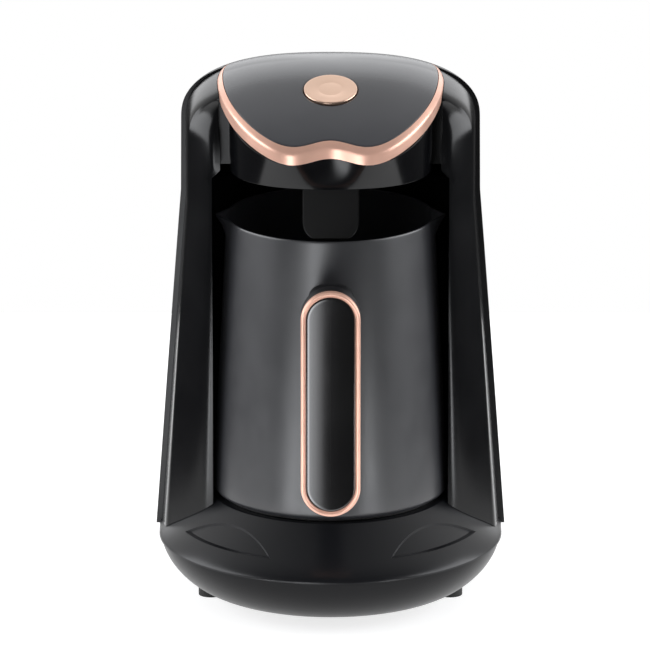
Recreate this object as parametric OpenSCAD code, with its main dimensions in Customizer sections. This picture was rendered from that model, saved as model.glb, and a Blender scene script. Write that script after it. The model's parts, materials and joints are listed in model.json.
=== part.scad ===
// Electric Turkish coffee maker: a steel pot with two pouring lips and a front handle stands in the bay of a
// domed housing. The housing's head reaches over the pot and carries one large push button.
// Millimetres, +Z up, front towards -Y. The origin is on the table, at the centre of the part's footprint.
// Sizes along Y are given from the pot's upright axis; at_pot_axis() places them.

/* [Rear cover] */
// Half of the cover's width at the top of its walls
cover_top_hw = 68.2; // [66:0.2:72]
// Half of the cover's width at its lower edge
cover_base_hw = 79.6; // [78:0.2:82]
// Height at which the walls stop flaring
flare_top_z = 185; // [175:1:190]
// Height of the cover's lower edge
cover_bottom_z = 28.8; // [28.6:0.1:29.2]
// Wall of the cover
cover_wall = 2.4; // [2:0.1:3]
// Depth at which cover and front frame meet, at the cover's lower edge
seam_y = 14; // [12:0.5:15]
// Angle at which the seam leans back
seam_lean = 3; // [0:0.5:4]

/* [Dome] */
// Height of the highest point of the top
top_z = 247.5; // [246:0.5:252]
// Radius of the top's arc, seen from the side
arc_r = 115; // [110:1:125]
// Depth of the arc's centre
arc_y = 15; // [12:1:18]
// Height of the rounded shoulder
dome_h = 29; // [26:1:31]
// Fullness of the shoulder, 2 is round
dome_n = 2.4; // [2.2:0.1:2.8]
// Fullness that the shoulder gains towards the middle of the back
rear_fullness = 0.8; // [0:0.1:1]

/* [Front frame] */
// Step from the cover in to the frame at the walls
frame_step = 2.3; // [1.5:0.1:2.6]
// Step from the cover in to the frame at the top of the shoulder
frame_step_top = 0.6; // [0.4:0.1:1.5]
// Width of the frame's side band at the top
band_top = 2.6; // [2:0.1:4]
// Width of the frame's side band at the base
band_base = 3.8; // [3:0.1:5]
// Depth of the edge between band and cheek
crease_y = -7; // [-7.5:0.5:-5]
// How far the cheeks reach forward of that edge
cheek_reach = 11.3; // [8:0.1:12]
// Half of the distance between the cheeks' inner edges above the bay
cheek_inner_x = 49.6; // [48.5:0.1:50.5]
// Wall of the frame
frame_wall = 2.4; // [2:0.1:3]
// Radius of the bay that takes the pot
bay_r = 56.3; // [56:0.1:57]
// Height of the bay's ceiling
bay_ceiling_z = 204; // [202:0.5:206]

/* [Base] */
// Length of the straight stretch between the base's two round ends
base_straight = 15.4; // [14:0.2:18]
// Height of the feet
foot_h = 6; // [5:0.5:8]
// Radius of a foot
foot_r = 5.6; // [4:0.1:7]
// Distance of the side feet from the middle
foot_x = 54.6; // [50:0.2:57]
// Distance of the rear feet from the middle
rear_foot_x = 38; // [30:1:40]
// Depth of the rear feet
rear_foot_y = 58; // [54:1:59]
// Step from the cover's lower edge in to the tray's rim
tray_step = 2.6; // [1.6:0.1:4]
// Radius of the tray's flat floor
tray_floor_r = 54.5; // [52:0.5:58]
// Height of the tray's rim
tray_rim_z = 28.4; // [27:0.1:28.5]
// Wall of the tray
tray_wall = 2.5; // [2:0.1:3]
// Height of the platform under the pot
platform_z = 49.5; // [48:0.5:50]
// Radius at which the deck starts to fall
platform_r = 54; // [53.5:0.1:55]
// Width of the deck's rounded edge
deck_round = 8; // [6:0.5:9]
// Height of the deck where it starts to round over
deck_slope_z = 37; // [36:0.1:38]
// Step from the cover's lower edge in to the deck
deck_step = 1.6; // [0.4:0.1:1.8]
// Wall of the deck
deck_wall = 2.4; // [2:0.1:3]
// Angle of each half-moon dent from the front
dent_angle = 46; // [40:1:50]
// Radius of the dent's curved step, seen from above
dent_r = 85; // [70:1:100]
// Distance from the pot's axis to the nearest place of the step
dent_in_r = 59.8; // [58:0.1:62]
// Depth of the dent
dent_step = 1.2; // [0.6:0.1:1.6]

/* [Head] */
// Half of the panel's width
panel_hw = 48.5; // [47.5:0.1:49.5]
// Depth at which the panel is widest
panel_wide_y = 12; // [8:1:16]
// Reach of the panel forward of that depth, before the notch
panel_front = 68.9; // [66:0.5:71]
// Reach of the panel behind that depth
panel_rear = 52; // [50:0.5:54]
// Thickness of the panel
panel_t = 2.2; // [1.8:0.1:2.6]
// Depth of the notch in the middle of the front edge
notch_depth = 6.9; // [4:0.1:8]
// Half-width of the notch
notch_w = 14; // [10:0.5:18]
// Width of the trim's bevel
trim_w = 2.5; // [1.5:0.1:3]
// Depth of the trim below the dome at the front
trim_front_drop = 6.7; // [5:0.1:8]
// Depth of the trim below the dome at its rear ends
trim_rear_drop = 2.8; // [2.6:0.1:4]
// Depth at which the trim ends
trim_end_y = 40; // [30:1:46]
// Half of the head's width at its lower edge
head_hw = 45.5; // [44:0.1:46]
// Depth of the head's front at its lower edge
head_front_y = -49; // [-51:0.5:-48]
// Wall of the head
head_wall = 2.4; // [2:0.1:3]
// Thickness of the plate under the head
chin_t = 2.4; // [2:0.1:3]
// Width of the sensor tongue
tongue_w = 25.4; // [20:0.2:28]
// Thickness of the tongue
tongue_t = 2.4; // [2:0.1:3]
// Radius of the tongue's lower corners
tongue_corner_r = 6; // [3:0.5:10]
// Space between the tongue and the plane of the pot's rim
tongue_clear = 1.1; // [1:0.1:3]

/* [Button] */
// Radius of the push button
button_r = 12; // [10:0.1:13]
// Depth of the button's centre
button_y = -19; // [-22:0.5:-16]
// Height of the button's rim above the panel
button_proud = 0.7; // [0.4:0.1:1.2]
// Travel of the button
button_travel = 1.2; // [0.8:0.1:1.5]
// Radial space between button and panel
button_clear = 0.35; // [0.3:0.05:0.5]
// Radius of the button's stem
stem_r = 3; // [2.5:0.1:3.5]
// Radial running clearance of the stem
stem_clear = 0.06; // [0.03:0.01:0.1]

/* [Pot] */
// Outer radius of the pot at its foot
pot_base_r = 53.5; // [52:0.1:53.6]
// Outer radius of the pot at its rim
pot_rim_r = 47; // [45:0.1:48]
// Height of the pot from foot to rim
pot_h = 128.6; // [124:0.2:129]
// Space between the platform and the pot's base cover
pot_stand_gap = 0.3; // [0.2:0.05:0.5]
// Height of the pot's steel foot above its base cover
pot_foot_lift = 0.9; // [0.6:0.1:1.4]
// Radius of the pot's lower corner
pot_corner_r = 3; // [2:0.5:5]
// Steel wall of the pot
pot_wall = 1; // [0.8:0.1:1.4]
// Height of the pot's inner floor above its foot
pot_floor_h = 17.3; // [17.3:0.1:20]
// Reach of each pouring lip beyond the rim
lip_reach = 5.4; // [4:0.1:5.8]
// Half-angle of each pouring lip
lip_half_angle = 15; // [10:1:20]
// Height of each pouring lip
lip_h = 11; // [8:0.5:14]

/* [Handle] */
// Width of the handle
handle_w = 26.6; // [24:0.2:28]
// Height of the handle's lower end
handle_low_z = 62.6; // [58:0.2:66]
// Height of the handle's upper end
handle_high_z = 166.6; // [160:0.2:170]
// Distance from the pot's axis to the handle's front
handle_reach = 85; // [82:0.5:90]
// Depth of the grip from front to back
grip_t = 13; // [11:0.5:15]
// Width of the bright ring
ring_w = 1.7; // [1.2:0.1:2.5]
// Depth of the bright ring
ring_t = 3; // [2:0.5:4]
// Height of each handle arm
arm_h = 14; // [12:0.5:18]
// Width of each handle arm
arm_w = 20; // [16:0.5:22]
// Radius of the handle screws
handle_screw_r = 2; // [1.6:0.1:2.3]

/* [Plug and socket] */
// Width of the plug block at the back of the pot
plug_w = 28; // [24:0.5:30]
// Height of the plug block
plug_h = 10.6; // [9:0.2:10.8]
// Distance from the pot's axis to the plug's face
plug_face_y = 60; // [58.6:0.1:60.2]
// Space between plug and socket on all sides
plug_clear = 0.8; // [0.5:0.1:1.2]
// Radius of a contact pin
pin_r = 1.6; // [1.2:0.1:2]
// Radial space between pin and plug
pin_clear = 0.3; // [0.2:0.05:0.4]
// Distance between the contact pins
pin_pitch = 8; // [7:0.2:9]

/* [Chassis and electrics] */
// Depth of the chassis plate's front face
chassis_y = 61; // [60.6:0.2:62]
// Thickness of the chassis
chassis_t = 2.5; // [2:0.1:3]
// Half of the chassis plate's width
chassis_hw = 42; // [38:1:44]
// Width of the power board
power_board_w = 68; // [60:1:76]
// Height of the power board
power_board_h = 96; // [80:1:110]
// Thickness of the boards
board_t = 1.6; // [1.2:0.1:2]
// Length of the spacers under the power board
spacer_l = 5; // [4:0.5:7]
// Radius of the hole for the mains lead
gland_bore_r = 3.6; // [3:0.1:4.5]
// Height of the gland's axis
gland_z = 46; // [42:1:60]
// Width of the relay
relay_w = 16; // [12:1:20]
// Height of the relay
relay_h = 19; // [14:1:24]
// Depth of the relay
relay_t = 10; // [8:0.5:10.5]
// Width of the transformer's core
transformer_w = 24; // [18:1:28]
// Height of the transformer's core
transformer_h = 22; // [16:1:30]
// Depth of the transformer
transformer_t = 10.5; // [8:0.5:11]
// Radius of the capacitor
capacitor_r = 5; // [3:0.5:6]
// Height of the capacitor
capacitor_h = 9; // [6:0.5:10]
// Radius of the foam sensor's lens
sensor_r = 5; // [4:0.1:5.5]
// Depth of the foam sensor's axis
sensor_y = -24; // [-26:0.5:-22]
// Width of the button's tact switch
switch_w = 6; // [4.5:0.5:7]

/* [Screws] */
// Radius of the machine screws
screw_r = 1.5; // [1.2:0.1:1.8]
// Radius of the countersunk screw heads
screw_head_r = 3; // [2.6:0.1:3.2]
// Height of those heads
screw_head_h = 1.8; // [1.4:0.1:2]
// Height of the pan heads
pan_head_h = 1.6; // [1.2:0.1:1.8]
// Depth of the recess under each foot
foot_recess = 2; // [1.6:0.1:2.4]
// Length of the screws in the feet
foot_screw_l = 8; // [6:0.5:8.5]
// Length of the chassis screws
chassis_screw_l = 9; // [8:0.5:10]
// Length of the button board's screws
board_screw_l = 7; // [5:0.5:8]
// Length of the socket screws
socket_screw_l = 4.4; // [3.6:0.1:4.6]
// Length of the screws in the pot's base cover
base_screw_l = 10; // [8:0.5:13]

/* [Hidden] */
$fn = 96;

eps = 0.01;
gap = 0.15;
fit = 0.05;
far = 400;
pan_head_r = screw_head_r - 0.4;

// Depth of the pot's axis in the part's frame, so that the origin is in the middle of the footprint
rear_y = base_straight;
rear_reach = rear_y + cover_base_hw;
pot_y = (handle_reach - rear_reach) / 2;

arc_z = top_z - arc_r;
pot_foot_z = platform_z + pot_stand_gap + pot_foot_lift;
pot_rim_z = pot_foot_z + pot_h;
pot_floor_z = pot_foot_z + pot_floor_h;
chin_z = bay_ceiling_z;
plug_z = pot_foot_z + 8.3;
tray_floor_z = foot_h + tray_wall;
tray_rim_r = cover_base_hw - tray_step;
deck_r = cover_base_hw - deck_step;
deck_slope_r = deck_r - deck_round;

// ---------------------------------------------------------------- shape functions

// One coordinate of a superellipse: what is left of the height at the share u of the half-width
function squircle(u, n) = pow(max(0, 1 - pow(min(1, abs(u)), n)), 1 / n);
function lerp(a, b, t) = a + (b - a) * t;
function clamp01(t) = max(0, min(1, t));

// Height of the top's arc at a depth
function top_arc(y) = arc_z + sqrt(arc_r * arc_r - pow(y - arc_y, 2));
// Distance of a place from the dome's ridge, which ends above the middle of the round back
function ridge_distance(x, y) = norm([x, max(0, y - rear_y)]);
// Fullness of the shoulder there: it grows from the sides to the middle of the back
function fullness(x, y) = dome_n + rear_fullness * max(0, y - rear_y) / max(eps, ridge_distance(x, y));
// Height of the dome
function dome_z(x, y) = top_arc(y)
    - dome_h * (1 - squircle(ridge_distance(x, y) / cover_top_hw, fullness(x, y)));
// Half-width of the cover's walls
function wall_hw(z) = cover_top_hw
    + (cover_base_hw - cover_top_hw) * clamp01((flare_top_z - z) / (flare_top_z - cover_bottom_z));

// D-shaped loop of the housing at a distance from its middle plane: up one side, round the back, down the other
REAR_STEPS = 24;
function d_loop(rho, y_front) = concat(
    [[rho, y_front]],
    [for (i = [0 : REAR_STEPS]) [rho * cos(180 * i / REAR_STEPS), rear_y + rho * sin(180 * i / REAR_STEPS)]],
    [[-rho, y_front]]
);

// Rings of the housing from its lower edge to the ridge, each inset by a wall
WALL_STEPS = 2;
DOME_STEPS = 10;
function housing_rings(inset, y_front, low_z) = concat(
    [for (k = [0 : WALL_STEPS])
        let (z = lerp(low_z, flare_top_z, k / WALL_STEPS))
        [for (q = d_loop(wall_hw(z) - inset, y_front)) [q[0], q[1], z]]],
    [for (k = [0 : DOME_STEPS])
        let (u = pow(cos(88 * k / DOME_STEPS), 2 / dome_n))
        [for (q = d_loop(u * (cover_top_hw - inset), y_front))
            let (eave = max(top_arc(q[1]) - dome_h, flare_top_z + 1))
            [q[0], q[1], eave + (dome_h - inset) * squircle(u, fullness(q[0], q[1]))]]]
);

// Solid through rings of equal count. A ring's point i faces its point n-1-i, and the caps are strips between them.
// Rings run counter-clockwise, seen from the side towards which they are stacked.
module loft(rings) {
    n = len(rings[0]);
    m = len(rings);
    h = floor(n / 2);
    sides = [for (j = [0 : m - 2]) for (i = [0 : n - 1])
        let (a = j * n + i)
        let (b = j * n + (i + 1) % n)
        each [[a, a + n, b + n], [a, b + n, b]]];
    low = concat(
        [for (i = [0 : h - 2]) each [[i, i + 1, n - 2 - i], [i, n - 2 - i, n - 1 - i]]],
        n % 2 == 1 ? [[h - 1, h, h + 1]] : []);
    high = [for (t = low) [for (v = [2 : -1 : 0]) t[v] + (m - 1) * n]];
    polyhedron([for (r = rings) each r], concat(sides, low, high), convexity = 6);
}

module at_pot_axis() {
    translate([0, pot_y, 0]) children();
}

module both_sides() {
    children();
    mirror([1, 0, 0]) children();
}

// Revolves a half-profile about the two ends of the base's long outline and joins them
module stadium_sweep(profile) {
    rotate([0, 0, 180]) rotate_extrude(angle = 180) polygon(profile);
    translate([0, rear_y, 0]) rotate_extrude(angle = 180) polygon(profile);
    translate([0, rear_y, 0]) rotate([90, 0, 0]) linear_extrude(rear_y) union() {
        polygon(profile);
        mirror([1, 0]) polygon(profile);
    }
}

// ---------------------------------------------------------------- base

BOWL_STEPS = 10;
BOWL_N = 1.6;
function bowl(inset) = [for (i = [0 : BOWL_STEPS])
    let (a = 90 * i / BOWL_STEPS)
    [tray_floor_r - inset + (tray_rim_r - tray_floor_r) * pow(sin(a), 2 / BOWL_N),
        tray_rim_z - (tray_rim_z - foot_h - inset) * pow(cos(a), 2 / BOWL_N)]];
function bowl_solid(inset, rim_z) = concat(
    [[0, foot_h + inset]], bowl(inset), [[tray_rim_r - inset, rim_z], [0, rim_z]]);

FEET = [[foot_x, -3], [-foot_x, -3], [rear_foot_x, rear_foot_y], [-rear_foot_x, rear_foot_y]];
foot_peg_r = 2.4;
foot_bore_r = 1.2;

// Bolt circle of the chassis on the tray
CHASSIS_HOLES = [[34, 26], [-34, 26], [20, 54], [-20, 54]];

VENTS = 5;
vent_pitch = 9;
vent_l = 34;
vent_w = 2.6;

module base_tray() {
    color([0.13, 0.13, 0.14]) at_pot_axis() difference() {
        union() {
            difference() {
                stadium_sweep(bowl_solid(0, tray_rim_z));
                stadium_sweep(bowl_solid(tray_wall, tray_rim_z + eps));
            }
            for (p = CHASSIS_HOLES) {
                translate([p[0], p[1], foot_h]) cylinder(h = screw_head_h + 3, r = screw_head_r + 2);
            }
            for (p = FEET) {
                translate([p[0], p[1], tray_floor_z - eps]) cylinder(h = 2, r = foot_peg_r + 2);
            }
        }
        for (p = CHASSIS_HOLES) {
            translate([p[0], p[1], foot_h - 1]) cylinder(h = 12, r = screw_r + fit);
            translate([p[0], p[1], foot_h - 1]) cylinder(h = 1 + screw_head_h, r = screw_head_r + gap);
        }
        for (p = FEET) {
            translate([p[0], p[1], foot_h - 1]) cylinder(h = 12, r = foot_peg_r + fit);
        }
        for (i = [0 : VENTS - 1]) {
            translate([(i - (VENTS - 1) / 2) * vent_pitch - vent_w / 2, -30, foot_h - 1])
                cube([vent_w, vent_l, tray_wall + 2]);
        }
    }
}

module feet() {
    color([0.08, 0.08, 0.08]) at_pot_axis() for (p = FEET) {
        difference() {
            translate([p[0], p[1], 0]) cylinder(h = foot_h + 4, r = foot_r);
            stadium_sweep(bowl_solid(-gap, tray_rim_z + 1));
            translate([p[0], p[1], -1]) cylinder(h = 1 + foot_recess, r = screw_head_r);
            translate([p[0], p[1], -1]) cylinder(h = 20, r = foot_bore_r + fit);
        }
        difference() {
            translate([p[0], p[1], foot_h - 1.5]) cylinder(h = tray_wall + 3.2, r = foot_peg_r);
            translate([p[0], p[1], -1]) cylinder(h = 20, r = foot_bore_r + fit);
        }
    }
}

module foot_screws() {
    color([0.7, 0.7, 0.72]) at_pot_axis() for (p = FEET) {
        translate([p[0], p[1], foot_recess]) {
            cylinder(h = foot_screw_l, r = foot_bore_r);
            mirror([0, 0, 1]) cylinder(h = pan_head_h - 0.2, r = pan_head_r);
        }
    }
}

// Outside of the deck from the platform to its rim
ROUND_STEPS = 5;
deck_rim_z = tray_rim_z + 0.3;
function deck_cone_z(r) = lerp(platform_z, deck_slope_z, (r - platform_r) / (deck_slope_r - platform_r));
// The rounded edge is a quadratic curve that starts along the slope and ends upright at the rim
function deck_edge(raise) =
    let (a = [deck_slope_r, deck_slope_z])
    let (b = [deck_r, deck_cone_z(deck_r)])
    let (c = [deck_r, deck_rim_z + 0.5])
    concat(
        [[platform_r, platform_z + raise]],
        [for (i = [0 : ROUND_STEPS])
            let (t = i / ROUND_STEPS)
            a * pow(1 - t, 2) + b * 2 * t * (1 - t) + c * t * t + [raise * t, raise * (1 - t)]]);
function deck_solid(raise, low_z) = concat(
    [[0, low_z], [0, platform_z + raise]], deck_edge(raise), [[deck_r + raise, low_z]]);

// Half-moon dent: its floor lies parallel to the slope and runs out to the surface at the rounded edge
dent_floor_r = deck_slope_r - 3;
dent_out_r = deck_slope_r + 1;
module dent() {
    intersection() {
        rotate_extrude() polygon([
            [dent_in_r - 4, deck_cone_z(dent_in_r - 4) - dent_step],
            [dent_floor_r, deck_cone_z(dent_floor_r) - dent_step],
            [dent_out_r, deck_cone_z(dent_out_r)],
            [dent_out_r, platform_z + 10],
            [dent_in_r - 4, platform_z + 10]
        ]);
        rotate([0, 0, -90 - dent_angle]) translate([dent_in_r + dent_r, 0, 0]) cylinder(h = far, r = dent_r);
    }
}

// What the deck fills in front of the housing back to a depth, with a clearance above it
module deck_front(raise, low_z, back_y) {
    rotate([0, 0, 180]) rotate_extrude(angle = 180) polygon(deck_solid(raise, low_z));
    translate([0, back_y, 0]) rotate([90, 0, 0]) linear_extrude(back_y) union() {
        polygon(deck_solid(raise, low_z));
        mirror([1, 0]) polygon(deck_solid(raise, low_z));
    }
}

platform_in_r = bay_r - 0.3;
module base_deck() {
    color([0.16, 0.16, 0.17]) at_pot_axis() difference() {
        union() {
            difference() {
                deck_front(0, deck_rim_z, seam_y - gap);
                deck_front(-deck_wall, deck_rim_z - 10, seam_y + 1);
            }
            translate([0, 0, platform_z - deck_wall]) cylinder(h = deck_wall, r = platform_in_r);
        }
        both_sides() dent();
    }
}

// ---------------------------------------------------------------- housing

// Depth of the seam between cover and frame at a height
function seam_at(z) = seam_y + (z - cover_bottom_z) * tan(seam_lean);
function band(z) = lerp(band_top, band_base, clamp01((flare_top_z - z) / (flare_top_z - cover_bottom_z)));
// Share of the band's width that the frame has turned inwards at the share d of the way to its front edge
function edge_share(d) = 0.5 * d + 0.5 * pow(d, 16);
// Half-width in front of the ridge's end and beside the round back
function round_x(rho, y) = sqrt(pow(rho, 2) - pow(max(0, y - rear_y), 2));

// Loop of the frame at the share d of the way from the seam to the front edge, inset by more and set back: up the
// right side, over the shoulder, down the left
OUTLINE_DOME = 12;
OUTLINE_ARC = 66;
function outline_right(d, more, back, low_z) =
    let (share = edge_share(d))
    concat(
        [for (z = [low_z, lerp(low_z, flare_top_z, 0.5), flare_top_z])
            let (y = lerp(seam_at(z) - gap, crease_y, d) + back)
            [round_x(wall_hw(z) - frame_step - share * band(z) - more, y), y, z]],
        [for (i = [0 : OUTLINE_DOME])
            let (u = cos(OUTLINE_ARC * i / OUTLINE_DOME))
            let (inset = lerp(frame_step, frame_step_top, min(1, 1.5 * i / OUTLINE_DOME)) + share * band_top + more)
            let (seam = seam_at(top_arc(rear_y) - dome_h * (1 - squircle(u, dome_n))) - gap)
            let (y = lerp(seam, crease_y, d) + back)
            let (x = round_x(u * (cover_top_hw - inset), y))
            [x, y, top_arc(y) - dome_h + (dome_h - inset) * squircle(u, fullness(x, y))]]
    );
function frame_loop(d, more, back, low_z) =
    let (right = outline_right(d, more, back, low_z))
    concat(right, [for (p = reverse(right)) [-p[0], p[1], p[2]]]);

// Half-width of the front edge at a height
EDGE = [for (p = outline_right(1, 0, 0, cover_bottom_z)) [p[2], p[0]]];
function crease_x(z) = lookup(z, EDGE);

// Levels of the cheeks, which fade out in the shoulder
CHEEK_SIDE = 8;
cheek_fade_z = 205;
cheek_top_z = top_arc(crease_y) - dome_h + 17;
CHEEK_FADES = [0, 0.3, 0.55, 0.75, 0.9, 0.97, 1];
CHEEK_LEVELS = concat([deck_rim_z - 2, 110, flare_top_z], [for (t = CHEEK_FADES) lerp(cheek_fade_z, cheek_top_z, t)]);
function cheek_fade(z) = squircle(clamp01((z - cheek_fade_z) / (cheek_top_z + 0.4 - cheek_fade_z)), 2.2);
// Point of a cheek at the share t of the way from its inner edge to the frame's front edge
function cheek_line(z, t) =
    let (bulge = 1 - pow(max(0, 1 - (1 - t) / 0.8), 1.6))
    [lerp(cheek_inner_x, crease_x(z), t), crease_y - cheek_reach * cheek_fade(z) * bulge];
function cheek_ring(z) =
    let (front = [for (i = [0 : CHEEK_SIDE]) cheek_line(z, i / CHEEK_SIDE)])
    let (back = [for (i = [CHEEK_SIDE : -1 : 0]) [front[i][0], crease_y + 1]])
    [for (p = concat(front, back)) [p[0], p[1], z]];
module cheek() {
    loft([for (z = CHEEK_LEVELS) cheek_ring(z)]);
}

EDGE_DEPTHS = [0, 0.5, 0.84, 0.94, 0.98, 1];
module frame_hood() {
    loft([for (d = EDGE_DEPTHS) frame_loop(d, 0, 0, cover_bottom_z)]);
}

module frame_cavity() {
    loft([
        frame_loop(0, frame_wall, 6, cover_bottom_z - 4),
        frame_loop(0.84, frame_wall, 0, cover_bottom_z - 4),
        frame_loop(1, frame_wall / 2, frame_wall, cover_bottom_z - 4)
    ]);
}

// Upright prism over the footprint of panel and trim
function trim_share(y) = clamp01((trim_end_y - y) / (trim_end_y - panel_wide_y));
function panel_footprint(grow) = [for (p = panel_loop(0)) let (o = trim_w * trim_share(p[1]) + grow) panel_move(p, o)];
module panel_shaft(grow, low_z) {
    foot = panel_footprint(grow);
    loft([[for (p = foot) [p[0], p[1], low_z]], [for (p = foot) [p[0], p[1], top_z + 20]]]);
}

tunnel_hw = 42.5;
tunnel_top_z = 236;
shaft_low_z = 222;
window_w = plug_w + 2 * plug_clear + 4;
window_h = plug_h + 2 * plug_clear + 4;
bay_wall = 2.2;

module front_frame() {
    color([0.05, 0.05, 0.06]) at_pot_axis() difference() {
        union() {
            difference() {
                union() {
                    frame_hood();
                    both_sides() cheek();
                }
                frame_cavity();
                both_sides() cheek_hollow();
                translate([-tunnel_hw, crease_y - 2, chin_z - 10])
                    cube([2 * tunnel_hw, 60, tunnel_top_z - chin_z + 10]);
                panel_shaft(0.3, shaft_low_z);
            }
            bay_shell();
        }
        translate([0, 0, -1]) cylinder(h = bay_ceiling_z + 1, r = bay_r);
        deck_front(deck_gap, -1, seam_y + 4);
        translate([-window_w / 2, bay_r - 12, plug_z - window_h / 2]) cube([window_w, 24, window_h]);
    }
}

// Space between the deck and what stands on it
deck_gap = 0.25;

// Wall and ceiling of the bay behind the cheeks
bay_low_z = 36;
module bay_shell() {
    difference() {
        translate([0, 0, bay_low_z]) cylinder(h = bay_ceiling_z - bay_low_z + bay_wall, r = bay_r + bay_wall);
        translate([-far / 2, -far, -1]) cube([far, far + crease_y, far]);
    }
}

module cheek_hollow() {
    x_in = bay_r + bay_wall - 1;
    low = cover_bottom_z - 3;
    high = cheek_fade_z - 2;
    loft([for (z = [low, high])
        let (x_out = crease_x(z) - frame_wall - 1)
        let (y_out = crease_y + frame_wall + 0.4)
        let (y_in = cheek_line(z, (x_in - cheek_inner_x) / (crease_x(z) - cheek_inner_x))[1] + frame_wall + 1)
        [[x_in, y_in, z], [x_out, y_out, z], [x_out, y_out + 3, z], [x_in, y_out + 3, z]]]);
}

gland_r = gland_bore_r + 2.4;
module rear_cover() {
    color([0.1, 0.1, 0.11]) at_pot_axis() difference() {
        loft(housing_rings(0, 0, cover_bottom_z));
        loft(housing_rings(cover_wall, -5, cover_bottom_z - 4));
        translate([0, seam_y, cover_bottom_z]) rotate([-seam_lean, 0, 0]) translate([-far / 2, -far, -20])
            cube(far);
        panel_shaft(0.3, shaft_low_z);
        translate([0, rear_reach, gland_z]) rotate([90, 0, 0]) cylinder(h = 40, r = gland_r + 0.1, center = true);
    }
}

module cord_gland() {
    wall_y = rear_y + wall_hw(gland_z);
    color([0.06, 0.06, 0.06]) at_pot_axis() translate([0, 0, gland_z]) rotate([-90, 0, 0]) difference() {
        union() {
            translate([0, 0, wall_y - 9]) cylinder(h = 9.4, r = gland_r);
            translate([0, 0, wall_y - 9]) cylinder(h = 3, r = gland_r + 2);
        }
        translate([0, 0, wall_y - 12]) cylinder(h = 20, r = gland_bore_r);
    }
}

// ---------------------------------------------------------------- head

PANEL_N_FRONT = 2.3;
PANEL_N_REAR = 2.2;
PANEL_STEPS = 64;
function notch(x) = notch_depth * exp(-pow(x / notch_w, 2));
function signed_pow(v, e) = sign(v) * pow(abs(v), e);
// Outline of the panel, grown by o. It starts at the right and runs round the back, so point i faces n-1-i.
function panel_point(a, o) = sin(a) >= 0
    ? [(panel_hw + o) * signed_pow(cos(a), 2 / PANEL_N_REAR),
        panel_wide_y + (panel_rear + o) * pow(sin(a), 2 / PANEL_N_REAR)]
    : let (x = (panel_hw + o) * signed_pow(cos(a), 2 / PANEL_N_FRONT))
        [x, panel_wide_y - (panel_front + o) * pow(-sin(a), 2 / PANEL_N_FRONT) + notch(x)];
function panel_loop(o) = [for (i = [0 : PANEL_STEPS - 1]) panel_point(-90 + 360 * (i + 0.5) / PANEL_STEPS, o)];
// A point of the outline moved outwards by o
function panel_move(p, o) =
    let (c = [0, panel_wide_y])
    let (d = p - c)
    c + d * (1 + o / norm(d));

PANEL_SCALES = [0.05, 0.3, 0.55, 0.75, 0.9, 1];
function panel_ring(scale, drop) = [for (p = panel_loop(0))
    let (q = [p[0] * scale, panel_wide_y + (p[1] - panel_wide_y) * scale])
    [q[0], q[1], dome_z(q[0], q[1]) - drop]];

module at_button() {
    tilt = asin((arc_y - button_y) / arc_r);
    translate([0, button_y, top_arc(button_y)]) rotate([tilt, 0, 0]) children();
}

board_z = -15;
BOARD_HOLES = [[17, 13], [-17, 13], [17, -13], [-17, -13]];
boss_r = 3.2;
boss_low_z = board_z + board_t + gap;
boss_high_z = -2.4;

module top_panel() {
    color([0.62, 0.61, 0.6]) at_pot_axis() difference() {
        union() {
            loft(concat(
                [for (i = [0 : len(PANEL_SCALES) - 1]) panel_ring(PANEL_SCALES[i], panel_t)],
                [for (i = [len(PANEL_SCALES) - 1 : -1 : 0]) panel_ring(PANEL_SCALES[i], 0)]
            ));
            at_button() for (p = BOARD_HOLES) {
                translate([p[0], p[1], boss_low_z]) cylinder(h = boss_high_z - boss_low_z, r = boss_r);
            }
        }
        at_button() {
            translate([0, 0, -10]) cylinder(h = 20, r = button_r + button_clear);
            for (p = BOARD_HOLES) {
                translate([p[0], p[1], board_z - 1]) cylinder(h = 9, r = screw_r + fit);
            }
        }
    }
}

// Depth of the trim below the dome
function trim_drop(y) = lerp(trim_rear_drop, trim_front_drop, clamp01((trim_end_y - y) / (trim_end_y + 30)));
trim_lip = 4.5;
trim_ledge = panel_t + 0.3;
// Section of the trim at a place of the outline, from the panel's edge round to the ledge under it
function trim_section(p) =
    let (s = 0.12 + 0.88 * trim_share(p[1]))
    let (w = trim_w * s)
    let (drop = trim_drop(p[1]))
    [for (q = [[gap, 0.05], [w, 1.1 * s], [w, drop], [-trim_lip, drop], [-trim_lip, trim_ledge], [gap, trim_ledge]])
        let (m = panel_move(p, q[0]))
        [m[0], m[1], dome_z(m[0], m[1]) - q[1]]];
module top_trim() {
    left = [for (p = panel_loop(0)) if (p[1] < trim_end_y && p[0] < 0) p];
    right = [for (p = panel_loop(0)) if (p[1] < trim_end_y && p[0] > 0) p];
    color([0.85, 0.68, 0.58]) at_pot_axis() loft([for (p = concat(left, right)) trim_section(p)]);
}

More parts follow.
